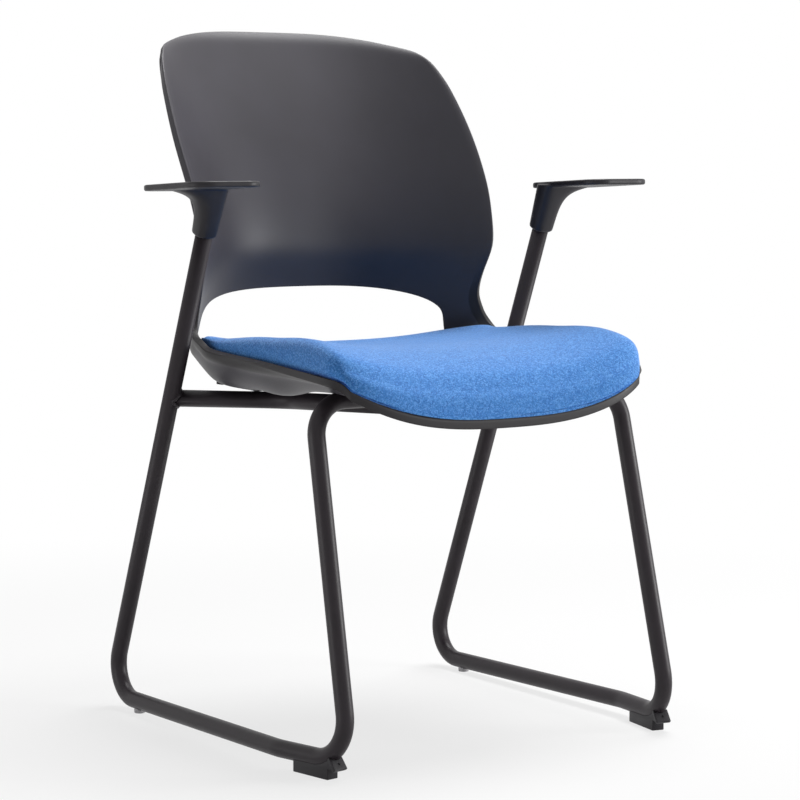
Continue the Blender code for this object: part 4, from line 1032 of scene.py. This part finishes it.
# Polyamide with a fine tool grain, satin black. The grain is drawn at 1.1 mm so that it shows.
PEBBLE_SIZE = 0.0011
RUB_SIZE = 0.03
polyamide = new_material("moulded_black_polyamide")
pebble = noise(polyamide, PEBBLE_SIZE, 2.0, 0.5)
rubbed = noise(polyamide, RUB_SIZE, 3.0, 0.6)
finish(
    polyamide,
    {"IOR": 1.53, "Specular IOR Level": 0.25},
    {
        "Base Color": shade(polyamide, rubbed, (0.3, "232125"), (0.7, "2a282c")),
        "Roughness": spread(polyamide, rubbed, 0.3, 0.7, 0.38, 0.5),
        "Normal": relief(polyamide, pebble, 0.15, 0.0003),
    },
)


def arm_pad(side):
    """The flat pad: a block with its corners rounded in plan, its edges softened, tilted up at the front."""
    length = PAD_FORWARD + PAD_REARWARD
    width = PAD_OUTWARD + PAD_INWARD
    clear_selection()
    bpy.ops.mesh.primitive_cube_add(size=1)
    block = bpy.context.object
    block.scale = (width, length, PAD_THICKNESS)
    bpy.ops.object.transform_apply(scale=True)
    pick(block, "EDGE", lambda edge: min(end_heights(block, edge)) < 0 < max(end_heights(block, edge)))
    bpy.ops.mesh.bevel(offset=PAD_CORNER, segments=12, affect="EDGES")
    bpy.ops.mesh.select_all(action="DESELECT")
    bpy.ops.mesh.edges_select_sharp(sharpness=math.radians(60))
    bpy.ops.mesh.bevel(offset=PAD_ROUNDING, segments=4, affect="EDGES")
    bpy.ops.object.mode_set(mode="OBJECT")
    spot = (
        side * (POST_X + (PAD_OUTWARD - PAD_INWARD) / 2),
        post_y(PAD_TOP_Z) + (PAD_REARWARD - PAD_FORWARD) / 2,
        PAD_TOP_Z - PAD_THICKNESS / 2,
    )
    block.data.transform(Matrix.Translation(spot) @ Matrix.Rotation(-PAD_TILT, 4, "X"))
    return block


def stem_ring(side, height, share, inset):
    """One section of the stem: square with round corners, square to the post below and level at the pad."""
    grow = STEM_TAPER * share - inset
    outward = STEM_HALF + grow + along(STEM_FLARE, share)
    tilt = POST_LEAN / (1 + POST_LEAN**2) * (1 - share) ** 2
    ring = []
    for step in range(STEM_POINTS):
        angle = math.tau * step / STEM_POINTS
        reach = outward if math.cos(angle) > 0 else STEM_HALF + grow
        wide = math.copysign(abs(math.cos(angle)) ** STEM_SQUARENESS, math.cos(angle)) * reach
        deep = math.copysign(abs(math.sin(angle)) ** STEM_SQUARENESS, math.sin(angle)) * (STEM_HALF + grow)
        level = height + tilt * deep
        ring.append(Vector((side * (POST_X + wide), post_y(level) + deep, level)))
    return ring


def arm_stem(side):
    """The stem: a ring extruded level by level from the chamfered foot up into the pad."""
    low = STEM_BOTTOM_Z + STEM_CHAMFER
    high = PAD_TOP_Z - PAD_THICKNESS
    rings = [stem_ring(side, STEM_BOTTOM_Z, 0, STEM_CHAMFER)]
    for level in range(STEM_LEVELS + 1):
        share = 1 - (1 - level / STEM_LEVELS) ** STEM_SPACING
        rings.append(stem_ring(side, low + (high - low) * share, share, 0))
    rings.append(stem_ring(side, high + PAD_THICKNESS * STEM_OVERLAP, 1, 0))
    clear_selection()
    bpy.ops.mesh.primitive_circle_add(vertices=STEM_POINTS, radius=0.01, fill_type="NGON")
    stem = bpy.context.object
    for vertex, spot in zip(stem.data.vertices, rings[0]):
        vertex.co = spot
    for ring in rings[1:]:
        bpy.ops.object.mode_set(mode="EDIT")
        bpy.ops.mesh.extrude_region_move()
        bpy.ops.object.mode_set(mode="OBJECT")
        top = [vertex for vertex in stem.data.vertices if vertex.select]
        for vertex, spot in zip(top, ring):
            vertex.co = spot
    return stem


def post_room(side):
    """A rod a little fatter than the post, to bore the stem."""
    low = Vector((side * POST_X, post_y(STEM_BOTTOM_Z - BORE_OVERRUN), STEM_BOTTOM_Z - BORE_OVERRUN))
    high = Vector((side * POST_X, post_y(POST_TOP_Z + FIT_GAP), POST_TOP_Z + FIT_GAP))
    turn = (high - low).to_track_quat("Z", "Y").to_euler()
    clear_selection()
    bpy.ops.mesh.primitive_cylinder_add(
        vertices=TUBE_SIDES, radius=TUBE_RADIUS + FIT_GAP, depth=(high - low).length,
        location=(low + high) / 2, rotation=turn,
    )
    return bpy.context.object


def drill(piece, matrix, radius, low, high):
    """Bores a round hole into a piece, along Z of a place, between two levels."""
    clear_selection()
    bpy.ops.mesh.primitive_cylinder_add(vertices=24, radius=radius, depth=high - low)
    bit = bpy.context.object
    bit.data.transform(matrix @ Matrix.Translation((0, 0, (low + high) / 2)))
    cut(piece, bit)


screw = headed_pin(
    head_radius=0.004, head_height=0.0022, shank_radius=0.002, shank_length=0.0051,
    socket_sides=4, socket_radius=0.0019, socket_depth=0.0012,
)
for name, side in SIDES:
    block = arm_pad(side)
    stem = arm_stem(side)
    clear_selection()
    block.select_set(True)
    stem.select_set(True)
    bpy.context.view_layer.objects.active = block
    bpy.ops.object.join()
    arm = bpy.context.object
    apply_modifier(arm, "REMESH", mode="VOXEL", voxel_size=ARM_VOXEL)
    apply_modifier(arm, "SMOOTH", factor=0.5, iterations=8)
    cut(arm, post_room(side))
    axis_spot = Matrix.Translation((side * POST_X, post_y(ARM_SCREW_Z), ARM_SCREW_Z))
    facing = Matrix.Rotation(math.pi / 2 + math.atan(POST_LEAN), 4, "X")
    rear_face = axis_spot @ facing @ Matrix.Translation((0, 0, -ARM_SCREW_DEPTH))
    drill(arm, rear_face, ARM_HEAD_HOLE, -0.004, ARM_SCREW_SEAT + FIT_GAP)
    drill(arm, rear_face, ARM_SHANK_HOLE, 0, 0.006)
    settle(arm, f"{name}_arm_moulding", polyamide, 40)
    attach(arm, "root")
    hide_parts(f"{name}_armrest")
    seat = rear_face @ Matrix.Translation((0, 0, ARM_SCREW_SEAT))
    fixing = place_copy(screw, seat, f"{name}_arm_fixing", zinc_plate)
    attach(fixing, "root")
    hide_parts(f"{name}_armrest_screw")
bpy.data.objects.remove(screw)


# Front feet and their screws
# A black polyamide saddle sits under each front bend, flat below and hollowed on top to the tube. At its
# front a lug stands square to the bend, with a gate mark in its face. One screw from below holds the foot.
FOOT_WIDTH = 0.0155
FOOT_REAR = 0.0838
FOOT_FRONT = 0.0274
FOOT_GRIP = 0.0025
FOOT_EDGE = 0.0009
LUG_ANGLE = math.radians(38.6)
LUG_REACH = 0.0132
LUG_WIDTH = 0.019
LUG_THICKNESS = 0.0038
LUG_ROOT = 0.003
LUG_UNDERCUT = 0.002
GATE_REACH = 0.0062
GATE_RADIUS = 0.0016
GATE_DEPTH = 0.0009
FOOT_SCREW_PLACE = 0.066
FOOT_SCREW_SEAT = 0.0038
FOOT_HEAD_HOLE = 0.0038
FOOT_SHANK_HOLE = 0.0021
FRONT_BEND = SIDE_BENDS[2]
FRONT_AXIS_Z = FRONT_CORNER[2]
FRONT_SLOPE = 0.2427
FRONT_TURN = math.pi / 2 + math.atan(FRONT_SLOPE)
FRONT_TANGENT = FRONT_BEND * math.tan(FRONT_TURN / 2)


def runner_frame(side):
    """Local axes of the runner's front end: Y back along it, Z up, origin on the floor under the corner."""
    corner = mirrored((FRONT_CORNER[0], FRONT_CORNER[1], 0), side)
    back = (mirrored((KINK[0], KINK[1], 0), side) - corner).normalized()
    level = back.cross(Vector((0, 0, 1)))
    turn = Matrix((level, back, (0, 0, 1))).transposed().to_4x4()
    return Matrix.Translation(corner) @ turn


def lug_frame():
    """Local axes of the lug: Z along the outward normal of the bend, Y up it, origin on the tube's skin."""
    reach = FRONT_BEND + TUBE_RADIUS
    spot = (
        0,
        FRONT_TANGENT - reach * math.sin(LUG_ANGLE),
        FRONT_AXIS_Z + FRONT_BEND - reach * math.cos(LUG_ANGLE),
    )
    return Matrix.Translation(spot) @ Matrix.Rotation(math.pi - LUG_ANGLE, 4, "X")


def foot_outline():
    """The foot seen from the side: flat below, its top follows the bend to the lug, its toe is undercut."""
    skin = FRONT_BEND + TUBE_RADIUS - FOOT_GRIP
    centre_z = FRONT_AXIS_Z + FRONT_BEND
    outline = [(FOOT_REAR, 0), (FOOT_REAR, centre_z - skin)]
    for step in range(13):
        angle = LUG_ANGLE * step / 12
        outline.append((FRONT_TANGENT - skin * math.sin(angle), centre_z - skin * math.cos(angle)))
    toe = lug_frame() @ Vector((0, 0, LUG_REACH))
    heel = lug_frame() @ Vector((0, -LUG_THICKNESS, LUG_REACH))
    return outline + [(toe.y, toe.z), (heel.y, heel.z), (FOOT_FRONT, heel.z + LUG_UNDERCUT), (FOOT_FRONT, 0)]


def rounded_block(size, edge):
    """A block of a size about the origin with its edges rounded."""
    clear_selection()
    bpy.ops.mesh.primitive_cube_add(size=1)
    block = bpy.context.object
    block.scale = size
    bpy.ops.object.transform_apply(scale=True)
    bpy.ops.object.mode_set(mode="EDIT")
    bpy.ops.mesh.select_mode(type="EDGE")
    bpy.ops.mesh.select_all(action="SELECT")
    bpy.ops.mesh.bevel(offset=edge, segments=3, affect="EDGES")
    bpy.ops.object.mode_set(mode="OBJECT")
    return block


def close_ends(tube):
    """Caps a tube's skin so that it can cut."""
    bpy.context.view_layer.objects.active = tube
    bpy.ops.object.mode_set(mode="EDIT")
    bpy.ops.mesh.select_all(action="SELECT")
    bpy.ops.mesh.remove_doubles(threshold=MERGE_DISTANCE)
    bpy.ops.mesh.fill_holes(sides=0)
    bpy.ops.mesh.select_all(action="SELECT")
    bpy.ops.mesh.normals_make_consistent(inside=False)
    bpy.ops.object.mode_set(mode="OBJECT")
    return tube


screw = headed_pin(
    head_radius=0.0035, head_height=0.0018, shank_radius=0.0018, shank_length=0.0123,
    socket_sides=4, socket_radius=0.0016, socket_depth=0.001,
)
for name, side in SIDES:
    outline = foot_outline()
    clear_selection()
    bpy.ops.mesh.primitive_circle_add(vertices=len(outline), radius=0.01, fill_type="NGON")
    foot = bpy.context.object
    for vertex, (along_runner, height) in zip(foot.data.vertices, outline):
        vertex.co = (-FOOT_WIDTH / 2, along_runner, height)
    bpy.ops.object.mode_set(mode="EDIT")
    bpy.ops.mesh.select_all(action="SELECT")
    bpy.ops.mesh.extrude_region_move(TRANSFORM_OT_translate={"value": (FOOT_WIDTH, 0, 0)})
    bpy.ops.mesh.select_all(action="SELECT")
    bpy.ops.mesh.normals_make_consistent(inside=False)
    bpy.ops.mesh.select_mode(type="EDGE")
    bpy.ops.mesh.select_all(action="DESELECT")
    bpy.ops.mesh.edges_select_sharp(sharpness=math.radians(40))
    bpy.ops.mesh.bevel(offset=FOOT_EDGE, segments=3, affect="EDGES")
    bpy.ops.object.mode_set(mode="OBJECT")
    lug = rounded_block((LUG_WIDTH, LUG_THICKNESS, LUG_REACH + LUG_ROOT), FOOT_EDGE)
    middle = Matrix.Translation((0, -LUG_THICKNESS / 2, (LUG_REACH - LUG_ROOT) / 2))
    lug.data.transform(lug_frame() @ middle)
    apply_modifier(foot, "BOOLEAN", operation="UNION", object=lug, solver="EXACT")
    bpy.data.objects.remove(lug)
    face = lug_frame() @ Matrix.Translation((0, 0, GATE_REACH)) @ Matrix.Rotation(-math.pi / 2, 4, "X")
    drill(foot, face, GATE_RADIUS, -GATE_DEPTH, 0.002)
    screw_place = Matrix.Translation((0, FOOT_SCREW_PLACE, 0))
    drill(foot, screw_place, FOOT_HEAD_HOLE, -0.001, FOOT_SCREW_SEAT + FIT_GAP)
    drill(foot, screw_place, FOOT_SHANK_HOLE, 0, 0.02)
    foot.data.transform(runner_frame(side))
    corners = side_corners(side)[2:5]
    room = bend_tube(corners, (FRONT_BEND,), TUBE_RADIUS + FIT_GAP)
    cut(foot, close_ends(room))
    settle(foot, f"front_{name}_foot_moulding", polyamide, 40)
    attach(foot, "root")
    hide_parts(f"front_{name}_foot")
    seat = runner_frame(side) @ Matrix.Translation((0, FOOT_SCREW_PLACE, FOOT_SCREW_SEAT))
    fixing = place_copy(screw, seat, f"front_{name}_foot_fixing", zinc_plate)
    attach(fixing, "root")
    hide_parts(f"front_{name}_foot_screw")
bpy.data.objects.remove(screw)


# Rear glides
# A small round glide of grey polythene is pushed up by its peg into a hole in each runner near the rear
# bend. Its sole is chamfered and its top is hollowed to the tube.
GLIDE_Y = 0.16628
GLIDE_RADIUS = 0.0068
GLIDE_CHAMFER = 0.0012
GLIDE_GRIP = 0.0025
GLIDE_PEG_RADIUS = 0.003
GLIDE_PEG_HEIGHT = 0.006
GLIDE_PEG_ROOT = 0.002

# Polythene: waxy, pale grey, a little scuffed below. The scuffs are about 2 mm wide.
SCUFF_SIZE = 0.002
polythene = new_material("grey_polythene")
scuff = noise(polythene, SCUFF_SIZE, 4.0, 0.65)
glide_colour = shade(polythene, scuff, (0.3, "b9b7ba"), (0.65, "cfcdd0"))
finish(polythene, {"Roughness": 0.5, "IOR": 1.5}, {"Base Color": glide_colour})

for name, side in SIDES:
    rear = mirrored((POST_X, REAR_CORNER_Y, REAR_AXIS_Z), side)
    run = mirrored(KINK, side) - rear
    axis = rear + run * ((GLIDE_Y - rear.y) / run.y)
    skin = axis.z - TUBE_RADIUS
    height = skin + GLIDE_GRIP
    clear_selection()
    bpy.ops.mesh.primitive_cylinder_add(
        vertices=40, radius=GLIDE_RADIUS, depth=height, location=(axis.x, GLIDE_Y, height / 2)
    )
    glide = bpy.context.object
    bpy.ops.object.transform_apply(location=True)
    pick(glide, "EDGE", lambda edge: max(end_heights(glide, edge)) < MERGE_DISTANCE)
    bpy.ops.mesh.bevel(offset=GLIDE_CHAMFER, segments=3, affect="EDGES")
    clear_selection()
    bpy.ops.mesh.primitive_cylinder_add(
        vertices=TUBE_SIDES, radius=TUBE_RADIUS + FIT_GAP, depth=0.08, location=axis,
        rotation=run.to_track_quat("Z", "Y").to_euler(),
    )
    cut(glide, bpy.context.object)
    clear_selection()
    bpy.ops.mesh.primitive_cylinder_add(
        vertices=24, radius=GLIDE_PEG_RADIUS, depth=GLIDE_PEG_HEIGHT + GLIDE_PEG_ROOT,
        location=(axis.x, GLIDE_Y, skin + (GLIDE_PEG_HEIGHT - GLIDE_PEG_ROOT) / 2),
    )
    peg = bpy.context.object
    apply_modifier(glide, "BOOLEAN", operation="UNION", object=peg, solver="EXACT")
    bpy.data.objects.remove(peg)
    settle(glide, f"rear_{name}_glide_moulding", polythene, 40)
    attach(glide, "root")
    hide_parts(f"rear_{name}_glide")


# Stacking bumpers
# A small black rubber block is stuck under each rear corner of the tray, where a stacked chair would rub.
# It keeps the shape of the solid.
BLOOM_SIZE = 0.004
rubber = new_material("black_rubber")
bloom = noise(rubber, BLOOM_SIZE, 4.0, 0.6)
rubber_colour = shade(rubber, bloom, (0, "171617"), (1, "29282a"))
finish(rubber, {"Roughness": 0.8, "IOR": 1.5}, {"Base Color": rubber_colour})
for name, _ in SIDES:
    refinish(f"{name}_stack_bumper", rubber)


# Studio
# A plain pale floor under soft light: a panel at the right, a broad lamp above it and a weak fill from the
# left. The floor and the surroundings show white, and the floor keeps the chair's shadow.
FLOOR_SIZE = 40
FLOOR_DROP = 0.0003
SHADOW_REACH = (0.7, 1.6)
SHADOW_SHARE = 0.25


def seen_directly(material):
    """One where the camera or a reflection sees a surface, and nought for the light that it gives."""
    rays = add_node(material, "ShaderNodeLightPath")
    seen = add_node(
        material,
        "ShaderNodeMath",
        {"operation": "MAXIMUM"},
        {0: rays.outputs["Is Camera Ray"], 1: rays.outputs["Is Glossy Ray"]},
    )
    seen_through = add_node(
        material,
        "ShaderNodeMath",
        {"operation": "MAXIMUM"},
        {0: seen.outputs["Value"], 1: rays.outputs["Is Transmission Ray"]},
    )
    return seen_through.outputs["Value"]


clear_selection()
bpy.ops.mesh.primitive_plane_add(size=FLOOR_SIZE, location=(0, 0, -FLOOR_DROP))
floor = bpy.context.object
floor.name = "studio_floor"
paper = new_material("pale_paper")
place = add_node(paper, "ShaderNodeTexCoord")
distance = add_node(paper, "ShaderNodeVectorMath", {"operation": "LENGTH"}, {0: place.outputs["Object"]})
whiteness = add_node(
    paper,
    "ShaderNodeMapRange",
    {
        "interpolation_type": "SMOOTHSTEP",
        "From Min": SHADOW_REACH[0],
        "From Max": SHADOW_REACH[1],
        "To Min": 1 - SHADOW_SHARE,
        "To Max": 1.0,
    },
    {"Value": distance.outputs["Value"]},
)
share_white = add_node(
    paper,
    "ShaderNodeMath",
    {"operation": "MULTIPLY"},
    {0: seen_directly(paper), 1: whiteness.outputs["Result"]},
)
matt = add_node(paper, "ShaderNodeBsdfDiffuse", {"Color": hex_colour("f4f4f4")})
white = add_node(paper, "ShaderNodeEmission", {"Color": hex_colour("ffffff"), "Strength": 1.0})
paper_mix = add_node(
    paper,
    "ShaderNodeMixShader",
    {},
    {0: share_white.outputs["Value"], 1: matt.outputs["BSDF"], 2: white.outputs["Emission"]},
)
add_node(paper, "ShaderNodeOutputMaterial", {}, {"Surface": paper_mix.outputs["Shader"]})
floor.data.materials.append(paper)

world = bpy.data.worlds.new("studio")
world.use_nodes = True
world.node_tree.nodes.clear()
bpy.context.scene.world = world
ambient = add_node(world, "ShaderNodeBackground", {"Color": hex_colour("ffffff"), "Strength": 0.1})
backdrop = add_node(world, "ShaderNodeBackground", {"Color": hex_colour("ffffff"), "Strength": 1.0})
world_mix = add_node(
    world,
    "ShaderNodeMixShader",
    {},
    {0: seen_directly(world), 1: ambient.outputs["Background"], 2: backdrop.outputs["Background"]},
)
add_node(world, "ShaderNodeOutputWorld", {}, {"Surface": world_mix.outputs["Shader"]})

LAMP_AIM = Vector((0, 0, 0.45))
LAMPS = (
    ("key", (2.2, -1.6, 0.75), 1.1, 44),
    ("top", (0.8, 0.2, 2.9), 1.6, 76),
    ("fill", (-2.6, 0.5, 0.35), 1.6, 16),
)
for name, spot, size, power in LAMPS:
    lamp = bpy.data.lights.new(name, "AREA")
    lamp.shape = "DISK"
    lamp.size = size
    lamp.energy = power
    holder = bpy.data.objects.new(name, lamp)
    bpy.context.scene.collection.objects.link(holder)
    holder.location = spot
    aim = LAMP_AIM - Vector(spot)
    holder.rotation_euler = aim.to_track_quat("-Z", "Y").to_euler()

# The camera stands where the photograph was taken from
lens = bpy.data.cameras.new("photo_camera")
lens.lens = 120.245
lens.sensor_width = 36
lens.shift_x = 0.028215
lens.shift_y = -0.001129
lens.clip_end = 100
camera = bpy.data.objects.new("photo_camera", lens)
bpy.context.scene.collection.objects.link(camera)
camera.matrix_world = Matrix((
    (0.835892, 0.049476, -0.546660, -1.744747),
    (-0.548888, 0.079882, -0.832070, -2.646622),
    (0.002501, 0.995576, 0.093930, 0.680889),
    (0, 0, 0, 1),
))
bpy.context.scene.camera = camera
bpy.context.scene.view_settings.view_transform = "Standard"
